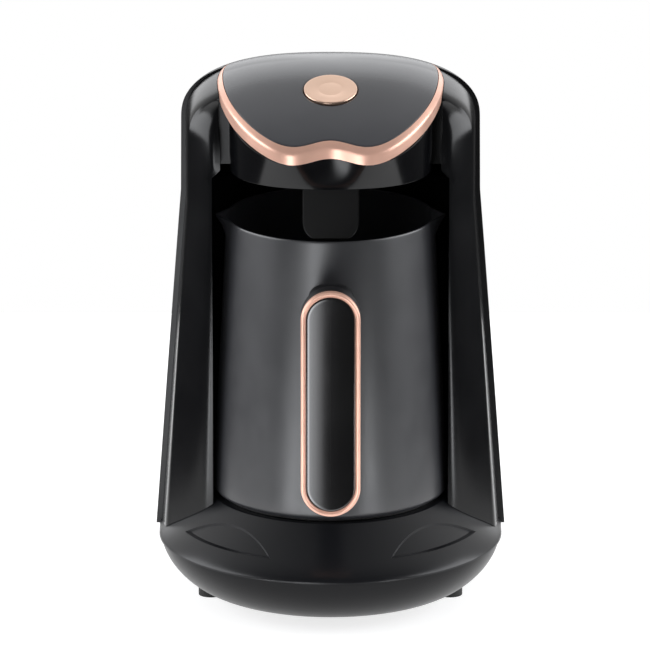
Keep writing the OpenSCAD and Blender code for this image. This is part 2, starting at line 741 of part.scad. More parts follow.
// U-shaped line of the head's wall, from the right side round the front to the left, at a share of its height
HEAD_STEPS = 28;
head_n = 2.4;
head_side_y = -8;
head_top_reach = 49.3;
head_top_hw = 46;
head_notch = 5.6;
function head_line(t, inset) =
    let (hw = lerp(head_hw, head_top_hw, t) - inset)
    let (reach = lerp(head_side_y - head_front_y, head_top_reach, t) - inset)
    let (dent = lerp(0, head_notch, pow(t, 1.3)))
    concat(
        [[hw, crease_y - gap]],
        [for (i = [0 : HEAD_STEPS])
            let (a = 180 * i / HEAD_STEPS)
            let (x = hw * signed_pow(cos(a), 2 / head_n))
            [x, head_side_y - reach * pow(sin(a), 2 / head_n) + dent * exp(-pow(x / notch_w, 2))]],
        [[-hw, crease_y - gap]]
    );
function head_top_z(x, y) = dome_z(x, y) - trim_drop(y) - gap;
function head_ring(t) =
    let (outer = head_line(t, 0))
    let (inner = head_line(t, head_wall))
    let (n = len(inner))
    let (loop = concat(outer, [for (i = [n - 1 : -1 : 0]) inner[i]]))
    let (top = head_line(1, 0))
    [for (i = [0 : 2 * n - 1])
        let (k = i < n ? i : 2 * n - 1 - i)
        let (hz = head_top_z(top[k][0], top[k][1]))
        [loop[i][0], loop[i][1], lerp(chin_z, hz, t)]];
HEAD_LEVELS = [0, 0.25, 0.5, 0.75, 1];

module head_shell() {
    color([0.04, 0.04, 0.05]) at_pot_axis() loft([for (t = HEAD_LEVELS) reverse(head_ring(t))]);
}
function reverse(v) = [for (i = [len(v) - 1 : -1 : 0]) v[i]];

tongue_y = head_front_y + head_wall + 0.2;
tongue_low_z = pot_rim_z + tongue_clear;
STEAM_SLOTS = 5;
slot_pitch = 5;
slot_w = 2;

module head_underside() {
    line = head_line(0, head_wall + gap);
    color([0.07, 0.07, 0.07]) at_pot_axis() difference() {
        translate([0, 0, chin_z + 0.6]) linear_extrude(chin_t) polygon(line);
        translate([-tongue_w / 2 - gap, tongue_y - gap, chin_z - 1])
            cube([tongue_w + 2 * gap, tongue_t + 2 * gap, 10]);
        translate([0, sensor_y, chin_z - 1]) cylinder(h = 10, r = sensor_r + gap);
        for (i = [0 : STEAM_SLOTS - 1]) {
            translate([(i - (STEAM_SLOTS - 1) / 2) * slot_pitch - slot_w / 2, sensor_y + 8, chin_z - 1])
                cube([slot_w, 9, 10]);
        }
    }
}

module sensor_tongue() {
    r = tongue_corner_r;
    hw = tongue_w / 2;
    top = chin_z + 0.6 + chin_t;
    color([0.1, 0.1, 0.11]) at_pot_axis() {
        translate([0, tongue_y + tongue_t, 0]) rotate([90, 0, 0]) linear_extrude(tongue_t) union() {
            translate([-hw, tongue_low_z + r]) square([2 * hw, top + 2 - tongue_low_z - r]);
            translate([-hw + r, tongue_low_z]) square([2 * (hw - r), r + 1]);
            translate([hw - r, tongue_low_z + r]) circle(r);
            translate([-hw + r, tongue_low_z + r]) circle(r);
        }
        translate([-hw, tongue_y, top + 0.05]) cube([2 * hw, 8, 2]);
    }
}

module foam_sensor() {
    color([0.2, 0.05, 0.06]) at_pot_axis() translate([0, sensor_y, chin_z]) {
        cylinder(h = 9, r = sensor_r);
        translate([0, 0, 0.6 + chin_t + 0.1]) cylinder(h = 2, r = sensor_r + 2.5);
    }
}

// ---------------------------------------------------------------- button and its board

collar_wall = 1.6;
collar_top = -3.6;
collar_floor = -8.6;
collar_floor_t = 1.6;
switch_h = 3.4;
switch_knob_h = 1.2;
skirt_end = collar_floor + collar_floor_t + button_travel + 0.3;
stem_end = board_z + board_t + switch_h + switch_knob_h + button_travel + 0.05;

module power_button() {
    color([0.82, 0.63, 0.54]) at_pot_axis() at_button() {
        rotate_extrude() polygon(concat(
            [[0, -3]],
            [[0, button_proud - 0.5]],
            [for (i = [0 : 4]) [button_r * (0.35 + 0.12 * i), button_proud - 0.5 + 0.4 * pow(i / 4, 2)]],
            [for (i = [0 : 4]) [button_r - 0.8 + 0.8 * sin(22.5 * i), button_proud - 0.8 + 0.8 * cos(22.5 * i)]],
            [[button_r, skirt_end], [button_r - 1.4, skirt_end], [button_r - 1.4, -3]]
        ));
        translate([0, 0, stem_end]) cylinder(h = -stem_end - 2.5, r = stem_r);
    }
}

module button_collar() {
    bore = button_r + button_clear;
    low = board_z + board_t + gap;
    color([0.05, 0.05, 0.05]) at_pot_axis() at_button() difference() {
        translate([0, 0, low]) cylinder(h = collar_top - low, r = bore + collar_wall);
        translate([0, 0, collar_floor + collar_floor_t]) cylinder(h = 10, r = bore);
        translate([0, 0, board_z - 1]) cylinder(h = collar_floor - board_z + 1, r = bore - 2);
        translate([0, 0, board_z]) cylinder(h = 20, r = stem_r + stem_clear);
    }
}

// Open coil spring round the stem
SPRING_TURNS = 3;
SPRING_SIDES = 6;
SPRING_STEPS = 14;
spring_r = 5.2;
spring_wire = 0.4;
module button_spring() {
    low = collar_floor + collar_floor_t + spring_wire + 0.1;
    high = -3 - spring_wire - 0.1;
    n = SPRING_TURNS * SPRING_STEPS;
    rings = [for (k = [0 : n])
        let (a = 360 * k / SPRING_STEPS)
        let (z = lerp(low, high, k / n))
        [for (j = [0 : SPRING_SIDES - 1])
            let (b = 360 * (j + 0.5) / SPRING_SIDES)
            [(spring_r + spring_wire * cos(b)) * cos(a), (spring_r + spring_wire * cos(b)) * sin(a),
                z + spring_wire * sin(b)]]];
    color([0.75, 0.75, 0.77]) at_pot_axis() at_button() loft([for (r = rings) reverse(r)]);
}

control_board_w = 44;
control_board_l = 36;
module control_board() {
    color([0.05, 0.3, 0.15]) at_pot_axis() at_button() difference() {
        translate([-control_board_w / 2, -control_board_l / 2, board_z])
            cube([control_board_w, control_board_l, board_t]);
        for (p = BOARD_HOLES) {
            translate([p[0], p[1], board_z - 1]) cylinder(h = 6, r = screw_r + fit);
        }
    }
}

module tact_switch() {
    color([0.15, 0.15, 0.16]) at_pot_axis() at_button() translate([0, 0, board_z + board_t]) {
        translate([-switch_w / 2, -switch_w / 2, 0]) cube([switch_w, switch_w, switch_h]);
        cylinder(h = switch_h + switch_knob_h, r = switch_w / 2 - 1.3);
    }
}

module board_screws() {
    color([0.75, 0.75, 0.77]) at_pot_axis() at_button() for (p = BOARD_HOLES) {
        translate([p[0], p[1], board_z - pan_head_h - gap]) {
            cylinder(h = board_screw_l, r = screw_r);
            cylinder(h = pan_head_h, r = pan_head_r);
        }
    }
}

// ---------------------------------------------------------------- chassis and mains side

chassis_foot_z = foot_h + screw_head_h + 3 + gap;
chassis_foot_y = 18;
chassis_foot_wide_y = 36;
chassis_low_hw = 30;
chassis_low_z = 22;
spacer_r = 3.5;
power_board_z = 84;
corner_inset = 5;
BOARD_CORNERS = [for (x = [-1, 1]) for (z = [0, 1])
    [x * (power_board_w / 2 - corner_inset), power_board_z + corner_inset + z * (power_board_h - 2 * corner_inset)]];
chassis_top_z = 206;
socket_screw_x = window_w / 2 + 4;
socket_flange_w = window_w + 14;
socket_flange_h = window_h + 2;

module chassis() {
    color([0.55, 0.56, 0.58]) at_pot_axis() difference() {
        union() {
            translate([-chassis_hw, chassis_y, chassis_low_z])
                cube([2 * chassis_hw, chassis_t, chassis_top_z - chassis_low_z]);
            translate([-chassis_low_hw, chassis_y, chassis_foot_z])
                cube([2 * chassis_low_hw, chassis_t, chassis_low_z - chassis_foot_z + 1]);
            translate([0, 0, chassis_foot_z]) linear_extrude(chassis_t) polygon([
                [-chassis_hw, chassis_foot_y],
                [chassis_hw, chassis_foot_y],
                [chassis_hw, chassis_foot_wide_y],
                [chassis_low_hw, chassis_y + 1],
                [-chassis_low_hw, chassis_y + 1],
                [-chassis_hw, chassis_foot_wide_y]
            ]);
            for (p = BOARD_CORNERS) {
                translate([p[0], chassis_y + chassis_t - eps, p[1]]) rotate([-90, 0, 0])
                    cylinder(h = spacer_l, r = spacer_r);
            }
        }
        for (p = CHASSIS_HOLES) {
            translate([p[0], p[1], 0]) cylinder(h = 30, r = screw_r + fit);
        }
        for (p = BOARD_CORNERS) {
            translate([p[0], chassis_y - 1, p[1]]) rotate([-90, 0, 0]) cylinder(h = 20, r = screw_r + fit);
        }
        translate([-window_w / 2 - 1, chassis_y - 1, plug_z - window_h / 2 - 1])
            cube([window_w + 2, chassis_t + 2, window_h + 2]);
        for (s = [-1, 1]) {
            translate([s * socket_screw_x, chassis_y - 1, plug_z]) rotate([-90, 0, 0])
                cylinder(h = 10, r = screw_r + fit);
        }
    }
}

module chassis_screws() {
    color([0.75, 0.75, 0.77]) at_pot_axis() for (p = CHASSIS_HOLES) {
        translate([p[0], p[1], foot_h + gap]) {
            cylinder(h = chassis_screw_l, r = screw_r);
            cylinder(h = screw_head_h - 2 * gap, r = screw_head_r);
        }
    }
}

power_board_y = chassis_y + chassis_t + spacer_l;
module power_board() {
    color([0.05, 0.3, 0.15]) at_pot_axis() difference() {
        translate([-power_board_w / 2, power_board_y, power_board_z]) cube([power_board_w, board_t, power_board_h]);
        for (p = BOARD_CORNERS) {
            translate([p[0], power_board_y - 1, p[1]]) rotate([-90, 0, 0]) cylinder(h = 5, r = screw_r + fit);
        }
    }
}

module power_board_screws() {
    color([0.75, 0.75, 0.77]) at_pot_axis() for (p = BOARD_CORNERS) {
        translate([p[0], power_board_y + board_t, p[1]]) rotate([-90, 0, 0]) {
            mirror([0, 0, 1]) cylinder(h = board_t + spacer_l, r = screw_r);
            cylinder(h = pan_head_h, r = pan_head_r);
        }
    }
}

module relay() {
    color([0.1, 0.2, 0.45]) at_pot_axis() translate([8, power_board_y + board_t, power_board_z + 8])
        cube([relay_w, relay_t, relay_h]);
}

module transformer() {
    color([0.75, 0.6, 0.2]) at_pot_axis() translate([-24, power_board_y + board_t, power_board_z + 10]) {
        cube([transformer_w, transformer_t, transformer_h]);
        translate([3, 0, -4]) cube([transformer_w - 6, transformer_t - 2, transformer_h + 8]);
    }
}

module capacitor() {
    color([0.15, 0.15, 0.2]) at_pot_axis() translate([-16, power_board_y + board_t, power_board_z + 56])
        rotate([-90, 0, 0]) cylinder(h = capacitor_h, r = capacitor_r);
}

socket_front_y = bay_r + 0.6;
socket_back_y = 74;
socket_floor_y = plug_face_y + 0.6;
module socket_block() {
    color([0.08, 0.08, 0.08]) at_pot_axis() difference() {
        union() {
            translate([-window_w / 2 + gap, socket_front_y, plug_z - window_h / 2 + gap])
                cube([window_w - 2 * gap, socket_back_y - socket_front_y, window_h - 2 * gap]);
            translate([-socket_flange_w / 2, chassis_y - gap - 1.6, plug_z - socket_flange_h / 2])
                cube([socket_flange_w, 1.6, socket_flange_h]);
        }
        translate([-plug_w / 2 - plug_clear, socket_front_y - 10, plug_z - plug_h / 2 - plug_clear])
            cube([plug_w + 2 * plug_clear, socket_floor_y - socket_front_y + 10, plug_h + 2 * plug_clear]);
        for (i = [-1 : 1]) {
            translate([i * pin_pitch, socket_floor_y - 1, plug_z]) rotate([-90, 0, 0])
                cylinder(h = 40, r = pin_r + fit);
        }
        for (s = [-1, 1]) {
            translate([s * socket_screw_x, chassis_y - 6, plug_z]) rotate([-90, 0, 0])
                cylinder(h = 12, r = screw_r + fit);
        }
        translate([0, 0, -1]) cylinder(h = far, r = bay_r + bay_wall + 0.1);
    }
}

pin_tip_y = 54;
module contact_pins() {
    color([0.85, 0.7, 0.35]) at_pot_axis() for (i = [-1 : 1]) {
        translate([i * pin_pitch, pin_tip_y, plug_z]) rotate([-90, 0, 0]) {
            cylinder(h = socket_back_y + 4 - pin_tip_y, r = pin_r);
        }
    }
}

module socket_screws() {
    color([0.75, 0.75, 0.77]) at_pot_axis() for (s = [-1, 1]) {
        translate([s * socket_screw_x, chassis_y + chassis_t + gap, plug_z]) rotate([90, 0, 0]) {
            cylinder(h = socket_screw_l, r = screw_r);
            mirror([0, 0, 1]) cylinder(h = pan_head_h, r = pan_head_r);
        }
    }
}

// ---------------------------------------------------------------- pot

function pot_r(z) = lerp(pot_base_r, pot_rim_r, (z - pot_foot_z) / pot_h);
// Outer half-profile of the pot from the axis at its foot up to a height
function pot_profile(grow, high_z) = concat(
    [[0, pot_foot_z - grow]],
    [for (i = [0 : 6])
        let (a = 90 * i / 6)
        [pot_r(pot_foot_z + pot_corner_r) + grow - pot_corner_r + pot_corner_r * sin(a),
            pot_foot_z - grow + pot_corner_r - pot_corner_r * cos(a)]],
    [[pot_r(high_z) + grow, high_z], [0, high_z]]
);

// Angles round the pot: close together at the lips, wider between them
LIP_ANGLES = concat([for (i = [0 : 5]) lip_half_angle * i / 6], [for (i = [0 : 10]) lerp(lip_half_angle, 90, i / 10)]);
HALF_ANGLES = concat(LIP_ANGLES, [for (i = [len(LIP_ANGLES) - 2 : -1 : 0]) 180 - LIP_ANGLES[i]]);
RIM_ANGLES = concat(HALF_ANGLES, [for (i = [1 : len(HALF_ANGLES) - 2]) HALF_ANGLES[i] + 180]);
function lip_share(a) =
    let (off = min(abs(a), abs(a - 180), abs(a - 360)))
    pow(max(0, 1 - off / lip_half_angle), 1.5);
lip_low_z = pot_rim_z - lip_h;
function lip_rise(z) = pow(clamp01((z - lip_low_z) / lip_h), 1.6);
// Ring of the pot's wall, with its two lips
function rim_ring(z, inset) = [for (a = RIM_ANGLES)
    let (r = pot_r(z) - inset + lip_reach * lip_share(a) * lip_rise(z))
    [r * cos(a), r * sin(a), z]];
function plain_ring(r, z) = [for (a = RIM_ANGLES) [r * cos(a), r * sin(a), z]];
LIP_LEVELS = [0, 0.2, 0.4, 0.6, 0.8, 1];
pot_side_zs = concat([pot_foot_z + pot_corner_r, lerp(pot_foot_z, lip_low_z, 0.5)],
    [for (t = LIP_LEVELS) lerp(lip_low_z, pot_rim_z, t)]);

// Solid through full rings, closed by fans about the axis
module round_loft(rings) {
    n = len(rings[0]);
    m = len(rings);
    low_c = m * n;
    sides = [for (j = [0 : m - 2]) for (i = [0 : n - 1])
        let (a = j * n + i)
        let (b = j * n + (i + 1) % n)
        each [[a, a + n, b + n], [a, b + n, b]]];
    low = [for (i = [0 : n - 1]) [i, (i + 1) % n, low_c]];
    high = [for (i = [0 : n - 1]) [(m - 1) * n + (i + 1) % n, (m - 1) * n + i, low_c + 1]];
    polyhedron(
        concat([for (r = rings) each r], [[0, 0, rings[0][0][2]], [0, 0, rings[m - 1][0][2]]]),
        concat(sides, low, high), convexity = 4);
}

// Steel wall and floor in one skin: from the floor's underside down inside the foot, up the outside, over the rim
// and down the inside to the floor
module pot_skin() {
    r = pot_r(pot_foot_z + pot_corner_r) - pot_corner_r;
    round_loft(concat(
        [plain_ring(pot_r(pot_floor_z) - pot_wall, pot_floor_z)],
        [plain_ring(pot_r(pot_foot_z + pot_corner_r) - pot_wall, pot_foot_z + pot_corner_r + 0.5)],
        [plain_ring(r, pot_foot_z + pot_wall)],
        [for (a = [0 : 22.5 : 67.5])
            plain_ring(r + pot_corner_r * sin(a), pot_foot_z + pot_corner_r * (1 - cos(a)))],
        [for (z = pot_side_zs) rim_ring(z, 0)],
        [for (i = [len(pot_side_zs) - 1 : -1 : 1]) rim_ring(pot_side_zs[i], pot_wall)],
        [plain_ring(pot_r(pot_floor_z + pot_wall) - pot_wall, pot_floor_z + pot_wall)]
    ));
}

module pot_body() {
    color([0.3, 0.3, 0.31]) at_pot_axis() difference() {
        pot_skin();
        translate([-plug_w / 2 - gap, pot_base_r - 12, plug_z - plug_h / 2 - gap])
            cube([plug_w + 2 * gap, 20, plug_h + 2 * gap]);
        for (z = ARM_Z) {
            translate([0, 0, z]) rotate([90, 0, 0]) cylinder(h = far, r = handle_screw_r + 0.1);
        }
    }
}

plate_r = 44;
plate_t = 3.2;
module pot_floor_plate() {
    color([0.7, 0.71, 0.73]) at_pot_axis() difference() {
        translate([0, 0, pot_floor_z - gap - plate_t]) cylinder(h = plate_t, r = plate_r);
        rotate_extrude() translate([element_ring_r, pot_floor_z - gap - plate_t - 1.4]) circle(element_r + 0.1);
    }
}

element_ring_r = 33;
element_r = 3;
module heating_element() {
    color([0.45, 0.4, 0.38]) at_pot_axis() {
        rotate_extrude(angle = 320) translate([element_ring_r, pot_floor_z - gap - plate_t - 1.4])
            circle(element_r, $fn = 36);
    }
}

cover_floor_t = 2;
base_cover_r = pot_base_r - 3.6;
base_cover_z = platform_z + pot_stand_gap;
module thermostat() {
    color([0.85, 0.83, 0.78]) at_pot_axis() {
        translate([0, 0, pot_floor_z - gap - plate_t - gap - 6]) cylinder(h = 6, r = 8);
        translate([-3, -15, pot_floor_z - gap - plate_t - gap - 4]) cube([6, 30, 1]);
    }
}

module thermal_fuse() {
    color([0.9, 0.88, 0.8]) at_pot_axis() translate([-7, 18, pot_floor_z - gap - plate_t - gap - 2.2])
        rotate([0, 90, 0]) cylinder(h = 14, r = 2);
}

BASE_HOLES = [for (a = [30, 150, 270]) [22 * cos(a), 22 * sin(a)]];
module pot_base_cover() {
    color([0.07, 0.07, 0.07]) at_pot_axis() difference() {
        union() {
            translate([0, 0, base_cover_z]) cylinder(h = cover_floor_t, r = base_cover_r);
            for (p = BASE_HOLES) {
                translate([p[0], p[1], base_cover_z])
                    cylinder(h = pot_floor_z - plate_t - 2 * gap - base_cover_z, r = 3.4);
            }
        }
        for (p = BASE_HOLES) {
            translate([p[0], p[1], base_cover_z - 1]) cylinder(h = far, r = screw_r + fit);
            translate([p[0], p[1], base_cover_z - 1]) cylinder(h = 1 + screw_head_h, r = screw_head_r);
        }
    }
}

module pot_base_seal() {
    low = base_cover_z + cover_floor_t + 0.05;
    color([0.5, 0.1, 0.08]) at_pot_axis() difference() {
        translate([0, 0, low]) cylinder(h = 1.6, r = base_cover_r - 0.4);
        translate([0, 0, low - 1]) cylinder(h = 4, r = base_cover_r - 3);
    }
}

module pot_base_screws() {
    color([0.75, 0.75, 0.77]) at_pot_axis() for (p = BASE_HOLES) {
        translate([p[0], p[1], base_cover_z + 0.2]) {
            cylinder(h = base_screw_l, r = screw_r);
            cylinder(h = screw_head_h - 0.4, r = screw_head_r - 0.2);
        }
    }
}

plug_inner_y = 38;
module plug_block() {
    color([0.06, 0.06, 0.06]) at_pot_axis() difference() {
        translate([-plug_w / 2, plug_inner_y, plug_z - plug_h / 2])
            cube([plug_w, plug_face_y - plug_inner_y, plug_h]);
        for (i = [-1 : 1]) {
            translate([i * pin_pitch, pin_tip_y - 0.8, plug_z]) rotate([-90, 0, 0])
                cylinder(h = 20, r = pin_r + pin_clear);
        }
    }
}

// ---------------------------------------------------------------- handle

module handle_outline(inset) {
    r = handle_w / 2 - inset;
    union() {
        translate([0, handle_high_z - handle_w / 2]) circle(r);
        translate([0, handle_low_z + handle_w / 2]) circle(r);
        translate([-r, handle_low_z + handle_w / 2]) square([2 * r, handle_high_z - handle_low_z - handle_w]);
    }
}

// Extrudes an outline drawn in the plane of the front, from one depth back to another
module from_front(y_front, y_back) {
    translate([0, y_back, 0]) rotate([90, 0, 0]) linear_extrude(y_back - y_front) children();
}

front_y = -handle_reach;
core_front_y = front_y + 0.6;
ARM_Z = [handle_low_z + arm_h, handle_high_z - arm_h];
module handle_core() {
    color([0.04, 0.04, 0.04]) at_pot_axis() difference() {
        union() {
            from_front(core_front_y + ring_t, front_y + grip_t) handle_outline(0);
            for (z = ARM_Z) {
                translate([-arm_w / 2, front_y + grip_t - eps, z - arm_h / 2])
                    cube([arm_w, handle_reach - grip_t - 30, arm_h]);
            }
        }
        rotate_extrude() polygon(pot_profile(0.1, pot_rim_z));
        for (z = ARM_Z) {
            translate([0, 0, z]) rotate([90, 0, 0]) cylinder(h = far, r = handle_screw_r + fit);
            from_front(front_y - 1, front_y + grip_t - 4) translate([0, z]) circle(4.2);
        }
    }
}

module handle_ring() {
    color([0.88, 0.7, 0.6]) at_pot_axis() difference() {
        from_front(front_y, core_front_y + ring_t - fit) handle_outline(0);
        from_front(front_y - 1, front_y + 20) handle_outline(ring_w);
    }
}

module handle_insert() {
    color([0.03, 0.03, 0.03]) at_pot_axis() from_front(core_front_y, core_front_y + ring_t - fit)
        handle_outline(ring_w + 0.08);
}

module handle_screws() {
    color([0.75, 0.75, 0.77]) at_pot_axis() for (z = ARM_Z) {
        translate([0, front_y + grip_t - 4 - gap, z]) rotate([-90, 0, 0]) {
            mirror([0, 0, 1]) cylinder(h = 2.2, r = 3.8);
            cylinder(h = -pot_r(z) + 1.5 - (front_y + grip_t - 4 - gap), r = handle_screw_r);
        }
    }
}

base_tray();
feet();
foot_screws();
base_deck();
front_frame();
rear_cover();
head_shell();
head_underside();
sensor_tongue();
foam_sensor();
top_trim();
top_panel();
button_collar();
control_board();
tact_switch();
board_screws();
chassis();
chassis_screws();
power_board();
relay();
transformer();
capacitor();
power_board_screws();
socket_block();
contact_pins();
socket_screws();
cord_gland();
power_button();
button_spring();
pot_body();
pot_floor_plate();
heating_element();
thermostat();
thermal_fuse();
pot_base_cover();
pot_base_seal();
pot_base_screws();
plug_block();
handle_core();
handle_ring();
handle_insert();
handle_screws();
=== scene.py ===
import json
import math

import bmesh
import bpy
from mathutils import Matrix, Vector


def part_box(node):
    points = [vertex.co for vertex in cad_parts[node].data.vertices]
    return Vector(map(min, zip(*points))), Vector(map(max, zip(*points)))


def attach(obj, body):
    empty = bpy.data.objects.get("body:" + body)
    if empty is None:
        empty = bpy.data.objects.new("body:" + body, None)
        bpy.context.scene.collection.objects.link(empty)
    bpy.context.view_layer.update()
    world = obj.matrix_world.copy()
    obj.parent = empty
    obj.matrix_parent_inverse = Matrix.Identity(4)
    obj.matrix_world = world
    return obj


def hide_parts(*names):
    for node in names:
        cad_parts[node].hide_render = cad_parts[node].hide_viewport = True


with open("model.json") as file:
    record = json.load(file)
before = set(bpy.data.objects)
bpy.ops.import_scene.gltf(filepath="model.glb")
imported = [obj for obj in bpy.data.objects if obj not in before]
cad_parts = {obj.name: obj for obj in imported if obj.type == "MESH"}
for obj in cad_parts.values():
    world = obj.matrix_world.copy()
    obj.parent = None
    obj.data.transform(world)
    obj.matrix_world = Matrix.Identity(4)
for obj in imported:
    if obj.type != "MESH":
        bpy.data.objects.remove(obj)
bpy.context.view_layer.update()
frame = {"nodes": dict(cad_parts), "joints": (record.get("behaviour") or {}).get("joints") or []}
nodes = frame["nodes"]
scene = bpy.context.scene

# ---------------------------------------------------------------- sizes, in millimetres from the pot's axis
# What the solids' boxes and the joints tell is read from the frame. The other values are the construction's
# own, so that each skin lies on the solid that it stands for.

X, Y, Z = range(3)
POT_Y = round(500 * sum(corner[Y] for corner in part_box("pot_floor_plate")), 2)


def span(node, axis):
    """Lowest and highest place of a node along an axis, to a hundredth of a millimetre."""
    shift = POT_Y if axis == Y else 0
    return [round(1000 * corner[axis] - shift, 2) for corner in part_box(node)]


GAP = 0.15  # clearance between mating parts
WALL = 2.4

# Rear cover, and the dome that cover, frame, trim and panel share
SEAM_Y, COVER_BACK = span("rear_cover", Y)
SEAM_LEAN = math.radians(3)
BASE_HW = span("rear_cover", X)[1]
TOP_HW = 68.2
REAR_Y = round(COVER_BACK - BASE_HW, 2)  # axis of the round back
LOW_Z = span("rear_cover", Z)[0]
FLARE_Z = 185.0  # above it the walls are upright
TOP_Z = span("top_panel", Z)[1]
ARC_R = 115.0  # the top's arc, seen from the side
ARC_Y = 15.0
ARC_Z = TOP_Z - ARC_R
DOME_H = 29.0
DOME_N = 2.4  # power of the dome's section
REAR_FULL = 0.8  # growth of that power towards the back

# Front frame
FRAME_STEP = 2.3  # how far it lies inside the cover
STEP_TOP = 0.6  # the same at the top of the shoulder
BAND_TOP = 2.6  # how far its band draws in towards the crease, at the top and at the base
BAND_BASE = 3.8
CREASE_Y = span("head_shell", Y)[1] + GAP
CHEEK_REACH = round(CREASE_Y - span("front_frame", Y)[0], 2)
CHEEK_X = 49.6
FADE_Z = 205.0  # the cheeks fade out above it
BAY_FIT = 0.3
BAY_R = span("base_deck", Y)[1] + BAY_FIT
BAY_TOP = span("head_shell", Z)[0]
CEIL_R = 3.0
GROOVE_X = 42.5
SOCKET_HW = 16.8
SOCKET_LOW = 50.9
SOCKET_HIGH = 67.1
SOCKET_DEEP = 2.2

# Deck and tray
DECK_R = span("base_deck", X)[1]
DECK_RIM_Z, PLATFORM_Z = span("base_deck", Z)
PLATFORM_R = 54.0
PLATFORM_EDGE = 0.6
SLOPE_R = 70.0
SLOPE_Z = 37.0
DENT_ANGLE = 46.0
DENT_SPREAD = 24.6
DENT_R = 85.0
DENT_IN = 59.8
DENT_STEP = 1.2
TRAY_RIM_R = span("base_tray", X)[1]
TRAY_LOW_Z, TRAY_RIM_Z = span("base_tray", Z)
TRAY_FLOOR_R = 54.5
TRAY_WALL = 2.5
BOWL_POWER = 1.25
VENTS = 5
VENT_PITCH = 9.0
VENT_HW = 1.3
VENT_FRONT = -30.0
VENT_BACK = 4.0
RECESS_R = 3.15
RECESS_Z = 7.8
RECESSES = ((34, 26), (-34, 26), (20, 54), (-20, 54))
GLAND_Y = 60.0
GLAND_Z = sum(span("cord_gland", Z)) / 2
GLAND_R = 6.1

# Panel, trim, head, button and tongue
PANEL_HW = 48.5
PANEL_Y = 12.0
PANEL_FRONT = 68.9
PANEL_REAR = 52.0
PANEL_N_FRONT = 2.3
PANEL_N_REAR = 2.2
PANEL_T = 2.2
PANEL_FIT = 0.3
NOTCH = 6.9
NOTCH_W = 14.0
TRIM_W = 2.5
TRIM_BEVEL = 1.1
TRIM_LEAST = 0.12  # share of its width that the trim keeps at its ends
TRIM_LIP = 4.5  # how far it reaches under the panel
TRIM_FRONT = 6.7
TRIM_REAR = 2.8
TRIM_END = 40.0
TRIM_FULL = -30.0  # forward of it the trim has its full depth
HEAD_HW = span("head_shell", X)[1]
HEAD_LOW_HW = 45.5
HEAD_SIDE_Y = -8.0
HEAD_REACH = 49.3
HEAD_LOW_REACH = 41.0
HEAD_NOTCH = 5.6
HEAD_N = 2.4
press = next(joint for joint in frame["joints"] if joint["name"] == "button_press")
BUTTON_R = span("power_button", X)[1]
BUTTON_Y = round(1000 * press["pos_m"][Y] - POT_Y, 2)
BUTTON_GAP = 0.35
BUTTON_PROUD = 0.7
BUTTON_SKIRT = 5.5
BUTTON_WALL = 1.4
BUTTON_UNDER = 1.4
STEM_R = 3.0
STEM_Z = 7.55
TONGUE_HW = span("sensor_tongue", X)[1]
TONGUE_Y = span("sensor_tongue", Y)[0]
TONGUE_LOW = span("sensor_tongue", Z)[0]
TONGUE_TOP = 209.0
TONGUE_T = 2.4
TONGUE_R = 6.0
TONGUE_ROUND = 8.5

# Pot and handle
POT_FOOT_Z, POT_RIM_Z = span("pot_body", Z)
POT_FLOOR_Z = span("pot_floor_plate", Z)[1] + GAP
POT_BASE_R = 53.5
POT_RIM_R = 47.0
POT_WALL = 1.0
POT_CORNER = 3.0
POT_INNER_CORNER = 4.0
LIP_REACH = 5.4
LIP_ANGLE = 15.0
LIP_H = 11.0
LIP_RISE = 1.6  # powers of the lip's growth upwards and towards its middle
LIP_CURVE = 1.5
HANDLE_R = span("handle_ring", X)[1]
HANDLE_LOW, HANDLE_HIGH = span("handle_ring", Z)
HANDLE_FRONT = span("handle_ring", Y)[0]
GRIP_FRONT = span("handle_core", Y)[0]
GRIP_T = 13.0
GRIP_R = 2.6
RING_W = 2.2
ARM_HW = 10.0
ARM_HH = 7.0
ARM_R = 6.2
ARM_IN = 14.0  # from the handle's ends to the middle of each arm

# ---------------------------------------------------------------- shapes that several pieces share


def lerp(a, b, t):
    return a + (b - a) * t


def clamp01(t):
    return max(0.0, min(1.0, t))


def steps(n):
    return [i / n for i in range(n + 1)]


def signed_pow(v, e):
    return math.copysign(abs(v) ** e, v)


def squircle(u, n):
    return max(0.0, 1 - min(1.0, abs(u)) ** n) ** (1 / n)


def arc(centre, radii, start, end, count):
    """Points of an elliptical arc between two angles in degrees."""
    angles = [math.radians(lerp(start, end, t)) for t in steps(count)]
    return [(centre[0] + radii[0] * math.cos(a), centre[1] + radii[1] * math.sin(a)) for a in angles]


def middle_of(points):
    return tuple(sum(p[i] for p in points) / len(points) for i in range(3))


def along(centre, direction, profile):
    """Profile of (distance, height) pairs set up from a place in plan along a direction."""
    return [(centre[0] + direction[0] * r, centre[1] + direction[1] * r, z) for r, z in profile]


def top_arc(y):
    return ARC_Z + math.sqrt(ARC_R ** 2 - (y - ARC_Y) ** 2)


def fullness(x, y):
    """Power of the dome's section at a place: it grows towards the back."""
    back = max(0.0, y - REAR_Y)
    return DOME_N + REAR_FULL * back / max(1e-6, math.hypot(x, back))


def dome_z(x, y):
    rho = math.hypot(x, max(0.0, y - REAR_Y))
    return top_arc(y) - DOME_H * (1 - squircle(rho / TOP_HW, fullness(x, y)))


def flare(z):
    """Share of the walls' flare at a height, 0 at its upper end."""
    return clamp01((FLARE_Z - z) / (FLARE_Z - LOW_Z))


def wall_hw(z):
    return lerp(TOP_HW, BASE_HW, flare(z))


def seam_at(z):
    """Depth of the seam between cover and frame at a height."""
    return SEAM_Y + (z - LOW_Z) * math.tan(SEAM_LEAN)


def notch(x, depth):
    return depth * math.exp(-(x / NOTCH_W) ** 2)


